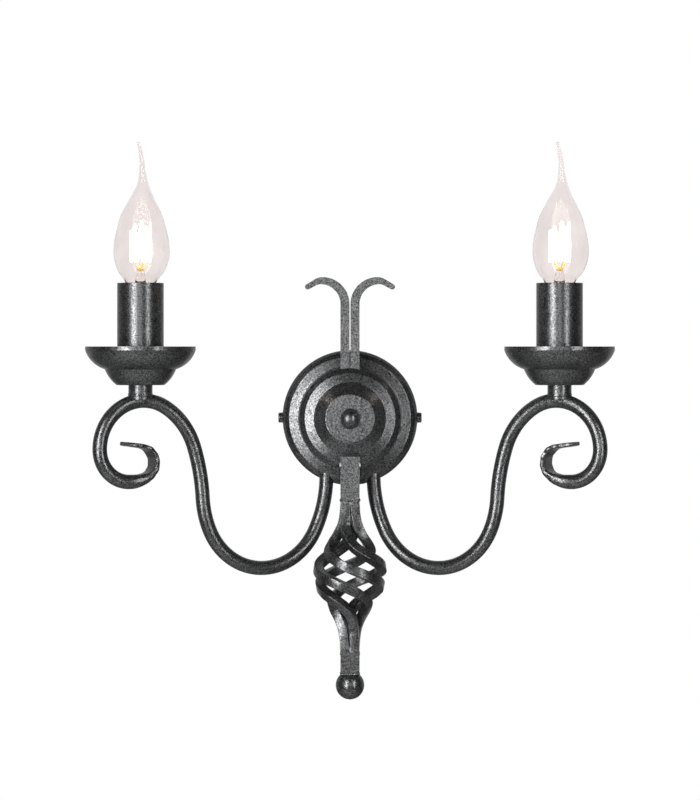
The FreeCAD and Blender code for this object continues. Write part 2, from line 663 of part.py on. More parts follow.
def arm_socket():
    """Boss saddled over the arm that carries the cup."""
    axis = cup_axis()
    boss = rod(SOCKET_R, axis + Z * SOCKET_BOTTOM, axis + Z * CUP_BOTTOM)
    thread = rod(NIPPLE_R, axis + Z * SOCKET_BOTTOM, axis + Z * (CUP_BOTTOM + 1))
    return boss.cut(arm_tube(TUBE_R)[0]).cut(thread)


def nipple():
    axis = cup_axis()
    shape = rod(NIPPLE_R, axis + Z * NIPPLE_START, axis + Z * NIPPLE_TOP)
    return shape.cut(rod(NIPPLE_BORE_R, axis + Z * (NIPPLE_START - 1), axis + Z * (NIPPLE_TOP + 1)))


# ---- cup and candle -----------------------------------------------------
def cup_outline(inset):
    """Two stacked bowls; the inner face is the outer one moved in and up by the sheet."""
    def spot(radius, height):
        return Vector(max(radius - inset, 0), 0, CUP_BOTTOM + height + inset)
    top = CUP_HEIGHT
    rise = CUP_HEIGHT - CUP_LIP
    return [
        line(spot(0, 0), spot(CUP_FLAT_R, 0)),
        arc(spot(CUP_FLAT_R, 0), spot(CUP_FLAT_R + CUP_FOOT_BULGE[0], CUP_FOOT_BULGE[1]), spot(CUP_WAIST_R, CUP_WAIST)),
        arc(spot(CUP_WAIST_R, CUP_WAIST), spot(CUP_RIM_R - CUP_RIM_BULGE[0], CUP_WAIST + CUP_RIM_BULGE[1]),
            spot(CUP_RIM_R, rise)),
        line(spot(CUP_RIM_R, rise), spot(CUP_RIM_R, top)),
        line(spot(CUP_RIM_R, top), spot(0, top)),
        line(spot(0, top), spot(0, 0)),
    ]


def drip_cup():
    axis = cup_axis()
    origin = Vector(0, 0, 0)
    shape = turned(cup_outline(0.0), origin, Z).cut(turned(cup_outline(SHEET), origin, Z))
    shape = shape.cut(rod(NIPPLE_R + RUNNING, Z * (CUP_BOTTOM - 1), Z * (CUP_FLOOR + 1)))
    shape.translate(axis)
    return shape


def cup_nut():
    axis = cup_axis()
    corner = NUT_FLATS / math.sqrt(3)
    spots = [Vector(corner * math.cos(math.radians(60 * i)), corner * math.sin(math.radians(60 * i)), CUP_FLOOR)
             for i in range(6)]
    shape = Part.Face(Part.makePolygon(spots + spots[:1])).extrude(Z * NUT_THICK)
    shape = shape.cut(rod(NIPPLE_R, Z * (CUP_FLOOR - 1), Z * (HOLDER_BOTTOM + 1)))
    shape.translate(axis)
    return shape


def lampholder():
    """Moulded lampholder screwed on the nipple, with a web under the contact."""
    axis = cup_axis()
    shape = rod(HOLDER_R, axis + Z * HOLDER_BOTTOM, axis + Z * HOLDER_TOP)
    shape = shape.cut(rod(NIPPLE_R, axis + Z * (HOLDER_BOTTOM - 1), axis + Z * NIPPLE_TOP))
    shape = shape.cut(rod(LEAD_HOLE_R, axis + Z * (NIPPLE_TOP - 1), axis + Z * (WEB_TOP + 1)))
    return shape.cut(rod(HOLDER_BORE_R, axis + Z * WEB_TOP, axis + Z * (HOLDER_TOP + 1)))


def socket_shell():
    """Brass shell of the lampholder with a turned-in foot that rests on the web."""
    axis = cup_axis()
    inner = CAP_R + CAP_IN_SHELL
    outer = inner + SHELL_THICK
    shape = rod(outer, axis + Z * WEB_TOP, axis + Z * SHELL_TOP)
    shape = shape.cut(rod(inner, axis + Z * (WEB_TOP + SHELL_THICK), axis + Z * (SHELL_TOP + 1)))
    return shape.cut(rod(CONTACT_R + 2.0, axis + Z * (WEB_TOP - 1), axis + Z * (WEB_TOP + 2)))


def socket_contact():
    axis = cup_axis()
    top = BULB_SEAT - 2 * SEAT_GAP
    foot = rod(CONTACT_R + 1.2, axis + Z * WEB_TOP, axis + Z * (WEB_TOP + 1.0))
    return foot.fuse(rod(CONTACT_R - 0.6, axis + Z * WEB_TOP, axis + Z * top))


def candle_sleeve():
    """Metal candle tube that stands in the cup round the lampholder."""
    axis = cup_axis()
    low = CUP_FLOOR + SLEEVE_LIFT
    shape = rod(SLEEVE_R, axis + Z * low, axis + Z * SLEEVE_TOP)
    shape = shape.makeFillet(SLEEVE_ROUND, [edge for edge in shape.Edges if edge.CenterOfMass.z > SLEEVE_TOP - 0.01])
    return shape.cut(rod(SLEEVE_BORE_R, axis + Z * (low - 1), axis + Z * (SLEEVE_TOP + 1)))


# ---- bulb ---------------------------------------------------------------
def bulb_contact():
    axis = cup_axis()
    return rod(CONTACT_R, axis + Z * BULB_SEAT, axis + Z * (BULB_SEAT + CAP_BOTTOM))


def bulb_cap():
    """Screw cap of the bulb, drawn with a plain skirt."""
    axis = cup_axis()
    low = BULB_SEAT + CAP_BOTTOM
    high = BULB_SEAT + CAP_TOP
    shape = rod(CAP_R, axis + Z * low, axis + Z * high)
    shape = shape.makeFillet(CAP_ROUND, [edge for edge in shape.Edges if edge.CenterOfMass.z < low + 0.01])
    return shape.cut(rod(CAP_R - CAP_WALL, axis + Z * (low + CAP_FLOOR), axis + Z * (high + PAST)))


def flame_loft(stations, wall, low_radius, low):
    """Round sections stacked up the bulb; each leans sideways by its own amount."""
    axis = cup_axis()
    rings = [(low, low_radius, 0.0), (CAP_TOP + SEAT_GAP, low_radius, 0.0)] + stations
    wires = []
    for height, radius, lean in rings:
        centre = axis + Vector(lean, 0, BULB_SEAT + height)
        wires.append(Part.Wire([Part.Circle(centre, Z, radius - wall).toShape()]))
    return Part.makeLoft(wires, True, False)


def bulb_glass():
    neck = CAP_R - CAP_WALL - GLASS_CAP_CLEAR
    low = CAP_TOP - GLASS_INTO_CAP
    outer = flame_loft(FLAME, 0.0, neck, low)
    inner = flame_loft(FLAME[:HOLLOW_STATIONS], GLASS_WALL, neck, low + GLASS_WALL)
    return outer.cut(inner)


def bulb_stem():
    """Glass stem that carries the filament, standing on the closed foot of the neck."""
    axis = cup_axis()
    low = CAP_TOP - GLASS_INTO_CAP + GLASS_WALL
    neck = CAP_R - CAP_WALL - GLASS_CAP_CLEAR - GLASS_WALL
    foot = min(STEM_R, neck - 0.1)
    base = axis + Z * (BULB_SEAT + low)
    return Part.makeCone(foot, STEM_TOP_R, STEM_TOP - low, base, Z)


def bulb_filament():
    """Filament bow on two support wires."""
    origin = cup_axis() + Z * (BULB_SEAT + STEM_TOP)
    narrow = STEM_TOP_R - 2 * FILAMENT_WIRE_R
    spread = math.degrees(math.atan2(FILAMENT_BEND_R - narrow, FILAMENT_LEG))
    track = Track(origin, X, (-narrow, 0.0), 90.0 + spread)
    pieces = [track.run(FILAMENT_LEG, FILAMENT_WIRE_R)]
    half_turn = 180.0 + 2 * spread
    reach = -track.q / math.cos(math.radians(spread))
    pieces.append(track.bend(reach, -half_turn, FILAMENT_WIRE_R))
    pieces.append(track.run(FILAMENT_LEG, FILAMENT_WIRE_R))
    foot = rod(STEM_R, origin, origin - Z * FILAMENT_BEND_R)
    return joined(pieces).cut(foot)


# ---- wiring -------------------------------------------------------------
def terminal_block():
    width, deep, tall = TERMINAL
    shape = block((-width / 2, width / 2), (PLATE_BACK - deep, PLATE_BACK), (TERMINAL_BOTTOM, TERMINAL_BOTTOM + tall))
    for x in (-width / 4, width / 4):
        middle = TERMINAL_BOTTOM + tall / 2
        shape = shape.cut(rod(TERMINAL_SCREW_R + RUNNING, at(x, PLATE_BACK - deep - 1, middle),
                              at(x, PLATE_BACK - deep / 2, middle)))
    return shape


def terminal_screws():
    """The two clamp screws of the terminal block, sunk below its face."""
    width, deep, tall = TERMINAL
    middle = TERMINAL_BOTTOM + tall / 2
    face = PLATE_BACK - deep
    return Part.makeCompound([rod(TERMINAL_SCREW_R, at(x, face + 0.6, middle), at(x, PLATE_BACK - deep / 2, middle))
                              for x in (-width / 4, width / 4)])


def lead():
    """Left-hand twin lead from the terminal block through the arm to the lampholder."""
    turn = math.radians(LEAD_S_TURN)
    swing = ARM_X - LEAD_PORT_X
    slant = (swing - 2 * LEAD_S_RADIUS * (1 - math.cos(turn))) / math.sin(turn)
    fall = 2 * LEAD_S_RADIUS * math.sin(turn) + slant * math.cos(turn)
    inside = TERMINAL_BOTTOM - ARM_TOP - fall
    across = Track(at(-LEAD_PORT_X, ARM_DEPTH, 0), -X, (0.0, TERMINAL_BOTTOM), -90.0)
    pieces = [across.run(inside / 2, LEAD_R), across.bend(LEAD_S_RADIUS, LEAD_S_TURN, LEAD_R),
              across.run(slant, LEAD_R), across.bend(LEAD_S_RADIUS, -LEAD_S_TURN, LEAD_R),
              across.run(inside / 2, LEAD_R)]
    track = arm_track()
    pieces.append(track.run(ARM_RUN, LEAD_R))
    for arc_radius, arc_turn in ARM_ARCS[:-1]:
        pieces.append(track.bend(arc_radius, arc_turn, LEAD_R))
    loop_radius = ARM_ARCS[-1][0]
    loop_centre = track.centre(*ARM_ARCS[-1])[0]
    # the up-turn ends on the cup's axis: centre + (loop + bend) sin(a) = reach - bend
    leave = math.asin((loop_centre - cup_reach() + LEAD_BEND_R) / (loop_radius + LEAD_BEND_R))
    stop = math.degrees(leave)
    pieces.append(track.bend(loop_radius, -(math.degrees(track.heading) - stop), LEAD_R))
    pieces.append(track.bend(LEAD_BEND_R, 90.0 - stop, LEAD_R))
    pieces.append(track.run(WEB_TOP - 1.0 - track.z, LEAD_R))
    return joined(pieces)


# ---- all pieces ---------------------------------------------------------
SINGLE = [wall_bracket, earth_screw, canopy, back_plate, spine_spacer, finial_stud, finial_washer,
          finial_ball, basket_neck, basket_foot, basket_ball, terminal_block, terminal_screws]
PAIRED = [canopy_screw, screw_washer, arm, arm_socket, nipple, drip_cup, cup_nut, lampholder, socket_shell,
          socket_contact, candle_sleeve, bulb_contact, bulb_cap, bulb_glass, bulb_stem, bulb_filament, lead]


def parts():
    nodes = {}
    for make in SINGLE:
        nodes[make.__name__] = make()
    for number in range(4):
        nodes["basket_strand_%d" % (number + 1)] = basket_strand(number)
    right_fork = fork_bar()
    nodes["fork_bar_right"] = right_fork
    nodes["fork_bar_left"] = mirrored(right_fork)
    for make in PAIRED:
        left = make()
        nodes[make.__name__ + "_left"] = left
        nodes[make.__name__ + "_right"] = mirrored(left)
    return nodes


def main():
    os.makedirs("parts", exist_ok=True)
    for name, shape in parts().items():
        solids = shape.Solids
        flawless = shape.isValid() and all(solid.isValid() and solid.isClosed() for solid in solids)
        print("%-24s solids %d  volume %.1f  %s" % (name, len(solids), shape.Volume, "ok" if flawless else "FAULTY"))
        if len(solids) == 1:
            shape = solids[0]
        shape.exportStep("parts/%s.step" % name)


main()
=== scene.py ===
"""Two-arm torch sconce in black powder coat: finishes, forged detail, lit bulbs and the studio.

Sizes are in millimetres, and grid_mesh turns them into metres. The wall is the plane y = 0, the light stands
out from it towards -y, and z is up. The studio's sizes are in metres.
"""
import json
import math

import bmesh
import bpy
import numpy as np
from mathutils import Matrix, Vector


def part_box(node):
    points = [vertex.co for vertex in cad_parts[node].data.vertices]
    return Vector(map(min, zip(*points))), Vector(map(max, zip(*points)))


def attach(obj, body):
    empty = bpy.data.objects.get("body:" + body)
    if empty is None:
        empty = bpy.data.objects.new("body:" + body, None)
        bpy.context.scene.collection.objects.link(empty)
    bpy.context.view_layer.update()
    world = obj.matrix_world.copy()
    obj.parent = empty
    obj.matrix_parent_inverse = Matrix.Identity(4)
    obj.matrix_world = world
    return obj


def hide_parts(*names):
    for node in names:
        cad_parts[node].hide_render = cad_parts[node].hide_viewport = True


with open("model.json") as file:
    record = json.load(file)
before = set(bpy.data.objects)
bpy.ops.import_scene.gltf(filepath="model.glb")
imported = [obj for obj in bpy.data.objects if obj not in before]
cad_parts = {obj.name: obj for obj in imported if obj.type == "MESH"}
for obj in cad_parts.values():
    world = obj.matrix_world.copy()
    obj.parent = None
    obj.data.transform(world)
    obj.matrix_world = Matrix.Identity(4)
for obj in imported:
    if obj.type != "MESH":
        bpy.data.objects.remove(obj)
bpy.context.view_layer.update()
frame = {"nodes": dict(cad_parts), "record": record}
NODES = frame["nodes"]

MM = 0.001
UP = np.array([0.0, 0.0, 1.0])
SIDES = {"left": -1.0, "right": 1.0}
# the corners of a rectangle, as signs of (across, through)
CORNERS = np.array([[1.0, 1.0], [-1.0, 1.0], [-1.0, -1.0], [1.0, -1.0]])

# ---- the spine and the basket -----------------------------------------------
BAR = 5.9                  # side of the square bars
BAR_GAP = 0.4
BAR_CORNER = 0.55
SPINE_BACK = 20.0          # from the wall to the backs of the bars
BUNDLE = 2 * BAR + BAR_GAP
SPINE_DEPTH = SPINE_BACK + BUNDLE / 2
BASKET_TOP, BASKET_BOTTOM = -53.5, -149.4
BASKET_RADIUS = 24.0       # to the outer corners of the strands
BASKET_INSET = 0.2         # the strands keep this far inside it
BASKET_SKEW = 0.944        # below 1 the widest place is above half-way
BASKET_SHARPNESS = 4       # power of the sine: higher is narrower at the ends
TWIST_EASE = 0.85          # 0 twists evenly, 1 stands still at both ends
STRAND_LAG = 90.0          # degrees a rod turns less than the basket does
LAG_STARTS = 0.12          # share of the height where a rod leaves its neighbours
STRAND_OVERLAP = 0.6       # a strand runs this far into the neck and the foot
STRAND_STATIONS = 220
STRAND_LUMP, STRAND_UNEVEN, STRAND_SEED = 7.0, 0.10, 20

# ---- the arms ---------------------------------------------------------------
ARM_X, ARM_DEPTH, ARM_TOP = 15.2, 8.0, -20.0
ARM_TURN = math.radians(30.0)    # out from the wall
TUBE_R = 4.55
ARM_RUN = 17.0                   # straight part below the top
RUN_STATIONS = 12
ARM_STEP, EDGE_STEP = 1.2, 0.7
# radius and turn in degrees of each bend, from the straight part to the hammered end
ARM_ARCS = [(77.0, 27.5), (42.2, 129.0), (60.0, 20.0), (130.0, -14.5), (46.0, -41.0), (30.0, -121.0),
            (20.5, -90.0)]
CURL_EDGE_ARCS = [(20.0, -40.0), (15.0, -50.0), (12.0, -82.0)]
FLATTENING_ARCS = 2              # the tube is flat at the end of this many of them
CURL_TIP = 12.0
TIP_STATIONS = 18
CURL_WIDTH, CURL_THICK = 13.3, 2.6
CURL_TIP_WIDTH, CURL_TIP_THICK = 11.6, 2.7
FLAT_CORNER = 0.28               # share by which the flat end's edges are less than round
ROUND_OFF = 7                    # stations in which the tip is rounded off
ROUND_OFF_REACH = 6.4
ROUND_OFF_WIDTH = 3.0
ROUND_OFF_THICK = 0.3
# hammer marks on the flat end: size, depth, seed
HAMMER_MARKS = [(5.5, 0.28, 40), (2.6, 0.10, 41)]

# ---- the pressed canopy -----------------------------------------------------
# outer face: radius and depth from the wall at each crease
CANOPY_CREASES = [(43.5, 0.0), (43.5, 8.0), (41.9, 10.9), (39.2, 13.0), (33.0, 14.0), (32.5, 26.4),
                  (29.0, 29.5), (23.0, 30.8), (16.2, 36.0), (15.5, 36.5), (3.3, 36.5)]
CANOPY_SIDES = 180
SHEET = 1.0
CREASE_ROUND = 0.45
SAME_PLACE = 1e-7                # metres
NOTCH_HALF = BUNDLE / 2 + 0.5
NOTCH_FRONT = SPINE_BACK - 0.5   # the slots begin this far from the wall
NECK_NOTCH_TOP, NECK_NOTCH_DEPTH = -24.4, 40.0
FORK_NOTCH_LOW, FORK_NOTCH_DEPTH = 27.0, BAR + SPINE_BACK + 1.0
CUT_END = 50.0                   # well outside the rim
ARM_HOLE_ROOM = 0.6
SCREW_DEPTH, SCREW_HOLE_R = 4.5, 2.25
SCREW_HOLE_FROM, SCREW_HOLE_TO = 36.0, 46.0
CUT_ROD_SIDES = 40

# ---- the welds --------------------------------------------------------------
# at each corner of the bundle: distance across and in depth from its middle, height, half sizes, first seed
WELD_SPOTS = [
    (BUNDLE / 2 * 0.93, BUNDLE / 2 * 0.93, BASKET_TOP + 1.3, (1.0, 1.0, 0.9), 0),
    (1.2, BUNDLE / 2 - 0.25, BASKET_TOP + 1.0, (0.9, 0.75, 0.8), 5),
    (BUNDLE / 2 * 0.9, BUNDLE / 2 * 0.9, BASKET_BOTTOM - 0.8, (1.0, 1.0, 0.8), 9),
]
BEAD_LUMP, BEAD_UNEVEN = 2.0, 0.12
BALL_WELD_HEIGHT = -163.1
BALL_WELD_HALF, BALL_WELD_CORNER = BUNDLE / 2 - 0.5, 1.2
BALL_WELD_RISE, BALL_WELD_THICK, BALL_WELD_SEED = 0.75, 0.8, 3
RIPPLE_LENGTH, RIPPLE, RIPPLE_LUMP, RIPPLE_UNEVEN = 1.3, 0.16, 4.0, 0.15
# the collar of weld between the boss and the arm
COLLAR_R, COLLAR_BULGE, COLLAR_WAIST = 7.55, 0.5, 0.9
COLLAR_TOP, COLLAR_HEIGHT = 16.6, 0.6
COLLAR_SIDE_DROP, COLLAR_END_DROP = 3.0, 0.9
COLLAR_BORE = 0.8                # share of the outer radius
COLLAR_LUMP, COLLAR_UNEVEN, COLLAR_SEED = 3.0, 0.12, 60

# ---- the bulb, heights above its seat ---------------------------------------
SEAT_HEIGHT = 48.4
STEM_TOP = 46.0
GLASS_WALL, GLASS_BORE = 0.55, 0.25
GLASS_ROWS, GLASS_SIDES = 150, 72
# height, radius and sideways lean of the blown flame
FLAME = [(26.0, 6.0, 0.0), (32.0, 8.0, 0.0), (38.0, 9.9, 0.2), (44.0, 14.2, 0.5), (52.0, 17.0, 0.7),
         (60.0, 17.3, 0.7), (70.0, 15.6, 0.7), (80.0, 12.6, 0.7), (90.0, 7.4, 0.9), (98.0, 3.8, 1.5),
         (108.0, 1.9, 1.2), (118.0, 1.4, 0.2), (124.0, 1.15, -1.2)]
# beyond the last circle: share of its radius and rise above it
TIP_CAP = [(0.8, 0.5), (0.4, 0.9), (0.05, 1.05)]
TIP_SEAL, TIP_SEAL_DROP = (0.05, 0.8), 0.4
CAGE_LOW, CAGE_HIGH = 50.5, 72.0
CAGE_RADIUS = 6.3
CAGE_HAIRPINS = 8
CAGE_SHARE, CAGE_START, CAGE_STATIONS = 0.94, 0.4, 420
CAGE_SQUARENESS = 0.35           # below 1 the hairpins' legs stand steeper
CAGE_SWAY, CAGE_SWAY_START, CAGE_RIPPLE = 3.0, 2.2, 1.2
HOT_WIRE_R, SUPPORT_R = 0.42, 0.3
SUPPORT_TURNS = (0.35, 2.2, 3.6, 5.2)
SUPPORT_FOOT_R, SUPPORT_HEAD_R, SUPPORT_BOW = 0.9, 4.2, 1.4
SUPPORT_STATIONS = 24
STEM_BEAD, STEM_BEAD_SEED = (1.3, 1.3, 1.5), 70
# a flat patch of painted glow in front of the hot wire, standing for its halo: how far aside, forward and below
# the cage's top, half sizes, seed
GLOW_PATCH_ASIDE, GLOW_PATCH_FORWARD, GLOW_PATCH_BELOW = 0.9, 0.7, 6.2
GLOW_PATCH_HALF, GLOW_PATCH_SEED = (3.2, 0.35, 2.5), 71

# ---- the finishes -----------------------------------------------------------
NOISE_LOW, NOISE_HIGH = 0.3, 0.7     # most of a noise's values lie between these
FLAKE_LOW, FLAKE_HIGH = 0.38, 0.64   # closer together, for more contrast
GRAIN_DARK, GRAIN_BRIGHT = 0.03, 0.29

# ---- the photograph, in metres ----------------------------------------------
CAMERA_DISTANCE = 2.0
EYE_HEIGHT = 0.045
LENS, SENSOR = 138.96, 36.0          # millimetres
SHIFT_Y = -0.0651
# azimuth from the camera's side, left negative; height, distance, width, length; power in watts
SOFTBOXES = {
    "left_softbox": (-31.0, 0.15, 1.5, 0.5, 1.5, 19.0),
    "right_softbox": (36.0, 0.15, 1.5, 0.25, 1.5, 7.0),
    "front_fill": (0.0, 0.05, 2.6, 0.7, 0.7, 3.6),
}
LAMP_AIM = (0.0, -0.03, 0.0)
ROOM_DIM = 0.008                     # what every ray gets at least
GLOSS_BACK = 0.5                     # what gloss sees behind the object
GLASS_FRONT, GLASS_BACK = 0.55, 1.0  # what glass sees before and behind it
FLOOR_HALF, FLOOR_HEIGHT = 2.4, -1.15
FLOOR_GREY, FLOOR_ROUGHNESS = 0.86, 0.9
FLOOR_SEEN, FLOOR_IN_GLOSS = 0.7, 0.02


# ---- vectors and grids ------------------------------------------------------
def unit(vectors):
    """Vectors brought to a length of 1."""
    return vectors / np.linalg.norm(vectors, axis=-1, keepdims=True)


def full_turn(count):
    """Angles in equal steps all the way round."""
    return np.linspace(0, 2 * math.pi, count, endpoint=False)


def lumps(points, size, seed):
    """Smooth unevenness between about -1 and 1: the sum of seven sine waves, each with its own random
    direction, length near the given size, and start."""
    rng = np.random.default_rng(seed)
    total = np.zeros(points.shape[:-1])
    for _ in range(7):
        wave = rng.normal(size=3)
        wave *= 2 * math.pi / (size * rng.uniform(0.7, 1.5) * np.linalg.norm(wave))
        total += np.sin(points @ wave + rng.uniform(0, 2 * math.pi))
    return total / 3.5


def rounded_sections(widths, thicks, radii, steps=4):
    """Rectangles with rounded corners, one for each size, as points (across, through) round each: a quarter
    circle in each corner, its centre a radius in from both sides."""
    widths, thicks, radii = np.asarray(widths), np.asarray(thicks), np.asarray(radii)
    turns = (np.arange(steps + 1) / steps)[None, :] * (math.pi / 2) + (np.arange(4) * math.pi / 2)[:, None]
    halves = np.stack([widths / 2 - radii, thicks / 2 - radii], -1)
    centres = halves[..., None, :] * CORNERS
    across = centres[..., :1] + radii[..., None, None] * np.cos(turns)
    through = centres[..., 1:] + radii[..., None, None] * np.sin(turns)
    return np.stack([across, through], -1).reshape(*widths.shape, -1, 2)


def carried(centres, first, second, section):
    """A section carried along a line: at each centre, its points lie in the plane of two directions."""
    return (centres[:, None, :] + first[..., None, :] * section[..., :1]
            + second[..., None, :] * section[..., 1:])


def upright_axis(low, high):
    """The middle of a box across and in depth, in millimetres, at height 0."""
    return np.array([(low.x + high.x) / 2, (low.y + high.y) / 2, 0.0]) / MM


# ---- meshes -----------------------------------------------------------------
def grid_mesh(name, grid, capped=False):
    """A surface from a grid of points: a face between each four neighbours, the last column joined to the
    first, and with capped a face over the first row and one over the last."""
    rows, columns = grid.shape[:2]
    row, column = np.meshgrid(np.arange(rows - 1), np.arange(columns), indexing="ij")
    onward = (column + 1) % columns
    here, there = row * columns, (row + 1) * columns
    quads = np.stack([here + column, here + onward, there + onward, there + column], -1)
    faces = quads.reshape(-1, 4).tolist()
    if capped:
        faces.append(list(range(columns))[::-1])
        faces.append(list(range((rows - 1) * columns, rows * columns)))
    mesh = bpy.data.meshes.new(name)
    mesh.from_pydata((grid.reshape(-1, 3) * MM).tolist(), [], faces)
    mesh.validate()
    return mesh


def tube_along(name, path, radius, sides=8):
    """A round wire along a line of points: a circle square to the line at each point."""
    tangent = unit(np.gradient(path, axis=0))
    any_way = np.array([0.31, 0.87, 0.38])
    first = unit(np.cross(tangent, any_way))
    second = np.cross(tangent, first)
    turn = full_turn(sides)
    circle = np.stack([np.cos(turn) * radius, np.sin(turn) * radius], -1)
    return grid_mesh(name, carried(path, first, second, circle), capped=True)


def bead(centre, radii, seed):
    """A lump of weld: an ellipsoid, its skin moved in and out by the unevenness."""
    short_of_pole = math.pi / 2 - 0.05
    rise = np.linspace(-short_of_pole, short_of_pole, 11)[:, None]
    turn = full_turn(18)[None, :]
    ball = np.stack([np.cos(rise) * np.cos(turn), np.cos(rise) * np.sin(turn), np.sin(rise) + 0 * turn], -1)
    points = np.array(centre) + ball * np.array(radii)
    points = points + ball * (lumps(points, BEAD_LUMP, seed) * BEAD_UNEVEN)[..., None]
    return grid_mesh("bead", points, capped=True)


def joined_mesh(name, meshes):
    """One mesh out of several."""
    work = bmesh.new()
    for mesh in meshes:
        work.from_mesh(mesh)
    whole = bpy.data.meshes.new(name)
    work.to_mesh(whole)
    work.free()
    return whole


def outward(mesh):
    """Turns all faces outwards."""
    work = bmesh.new()
    work.from_mesh(mesh)
    bmesh.ops.recalc_face_normals(work, faces=work.faces)
    work.to_mesh(mesh)
    work.free()


def closed_seam(mesh):
    """Joins the points that lie in the same place."""
    work = bmesh.new()
    work.from_mesh(mesh)
    bmesh.ops.remove_doubles(work, verts=work.verts, dist=SAME_PLACE)
    work.to_mesh(mesh)
    work.free()


def placed(name, data):
    """An object made of a mesh, a lamp or a camera, linked to the scene."""
    obj = bpy.data.objects.new(name, data)
    bpy.context.scene.collection.objects.link(obj)
    return obj


def piece(name, mesh, material, body, replaced=(), smooth_angle=40.0, turned=False):
    """A finished piece of the object: outward faces unless turned already, smooth shading, finish and body."""
    if not turned:
        outward(mesh)
    obj = placed(name, mesh)
    mesh.materials.append(material)
    mesh.shade_smooth()
    mesh.set_sharp_from_angle(angle=math.radians(smooth_angle))
    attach(obj, body)
    if replaced:
        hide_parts(*replaced)
    return obj


# ---- shader nodes -----------------------------------------------------------
def new_material(name):
    """A material with its node tree and its main shader."""
    material = bpy.data.materials.new(name)
    material.use_nodes = True
    tree = material.node_tree
    return material, tree, tree.nodes["Principled BSDF"]


def add(tree, kind, **settings):
    """A node with some of its inputs or properties set."""
    node = tree.nodes.new(kind)
    for key, value in settings.items():
        if key in node.inputs:
            node.inputs[key].default_value = value
        else:
            setattr(node, key, value)
    return node


def object_noise(tree, feature, detail=2.0, roughness=0.5):
    """Noise whose grains are about as large as the feature."""
    place = add(tree, "ShaderNodeTexCoord")
    noise = add(tree, "ShaderNodeTexNoise", Scale=1.0 / (feature * MM), Detail=detail, Roughness=roughness)
    tree.links.new(place.outputs["Object"], noise.inputs["Vector"])
    return noise.outputs["Fac"]


def ramp(tree, source, dark, bright, low=NOISE_LOW, high=NOISE_HIGH):
    """Maps a value from low..high to dark..bright, in a straight line."""
    node = add(tree, "ShaderNodeMapRange")
    node.inputs["From Min"].default_value = low
    node.inputs["From Max"].default_value = high
    node.inputs["To Min"].default_value = dark
    node.inputs["To Max"].default_value = bright
    tree.links.new(source, node.inputs["Value"])
    return node.outputs["Result"]


def tinted(tree, value, tint):
    """A colour that is a grey value times a tint."""
    node = add(tree, "ShaderNodeVectorMath", operation="SCALE")
    node.inputs[0].default_value = tint
    tree.links.new(value, node.inputs["Scale"])
    return node.outputs["Vector"]


def reckoned(tree, operation, first, second):
    """The product or the larger of two values; the second may be a plain number."""
    node = add(tree, "ShaderNodeMath", operation=operation)
    tree.links.new(first, node.inputs[0])
    if isinstance(second, float):
        node.inputs[1].default_value = second
    else:
        tree.links.new(second, node.inputs[1])
    return node.outputs[0]


def bumped(tree, shader, heights):
    """Stacks bumps of (height source, depth, strength)."""
    normal = None
    for source, depth, strength in heights:
        bump = add(tree, "ShaderNodeBump", Strength=strength, Distance=depth * MM)
        tree.links.new(source, bump.inputs["Height"])
        if normal:
            tree.links.new(normal, bump.inputs["Normal"])
        normal = bump.outputs["Normal"]
    tree.links.new(normal, shader.inputs["Normal"])


# ---- finishes ---------------------------------------------------------------
def powder_coat(name, hammer=0.0):
    """Graphite powder coat: its colour goes from dark to bright with a fine noise of flakes, its roughness
    with a coarser one, and both the flakes and a soft orange peel raise it. Hammer adds shallow forge marks."""
    material, tree, shader = new_material(name)
    flakes = object_noise(tree, 0.9, detail=3.0, roughness=0.75)
    value = ramp(tree, flakes, GRAIN_DARK, GRAIN_BRIGHT, FLAKE_LOW, FLAKE_HIGH)
    tree.links.new(tinted(tree, value, (1.0, 1.01, 1.03)), shader.inputs["Base Color"])
    shader.inputs["Metallic"].default_value = 0.85
    shine = object_noise(tree, 6.0, detail=2.0)
    tree.links.new(ramp(tree, shine, 0.26, 0.34), shader.inputs["Roughness"])
    orange_peel = object_noise(tree, 2.4)
    heights = [(flakes, 0.09, 0.45), (orange_peel, 0.10, 0.25)]
    if hammer:
        heights.append((object_noise(tree, 5.0, detail=1.0), hammer, 0.6))
    bumped(tree, shader, heights)
    return material


def metal(name, colour, roughness, feature, spread):
    """Bare or plated metal: one fine noise darkens it, roughens it and raises it, all a little."""
    material, tree, shader = new_material(name)
    noise = object_noise(tree, feature, detail=4.0, roughness=0.6)
    value = ramp(tree, noise, 1.0 - spread, 1.0)
    tree.links.new(tinted(tree, value, colour), shader.inputs["Base Color"])
    shader.inputs["Metallic"].default_value = 1.0
    tree.links.new(ramp(tree, noise, roughness + 0.1, roughness), shader.inputs["Roughness"])
    bumped(tree, shader, [(noise, 0.02, 0.3)])
    return material


def moulded(name, colour, roughness):
    """Matt moulded plastic or nylon: one fine noise gives it a faint grain in colour, roughness and height."""
    material, tree, shader = new_material(name)
    noise = object_noise(tree, 0.9, detail=3.0)
    value = ramp(tree, noise, 0.93, 1.0)
    tree.links.new(tinted(tree, value, colour), shader.inputs["Base Color"])
    tree.links.new(ramp(tree, noise, roughness, roughness + 0.12), shader.inputs["Roughness"])
    bumped(tree, shader, [(noise, 0.03, 0.2)])
    return material


def blown_glass():
    """Clear blown glass with a faint rosy tint that a coarse noise deepens a little in patches, and a slow
    waviness of the skin."""
    material, tree, shader = new_material("blown_glass")
    patches = object_noise(tree, 14.0, detail=1.0)
    value = ramp(tree, patches, 0.90, 0.955)
    tree.links.new(tinted(tree, value, (1.0, 0.955, 0.945)), shader.inputs["Base Color"])
    shader.inputs["Transmission Weight"].default_value = 1.0
    shader.inputs["Roughness"].default_value = 0.0
    shader.inputs["IOR"].default_value = 1.3
    bumped(tree, shader, [(object_noise(tree, 9.0, detail=1.0), 0.12, 0.3)])
    return material


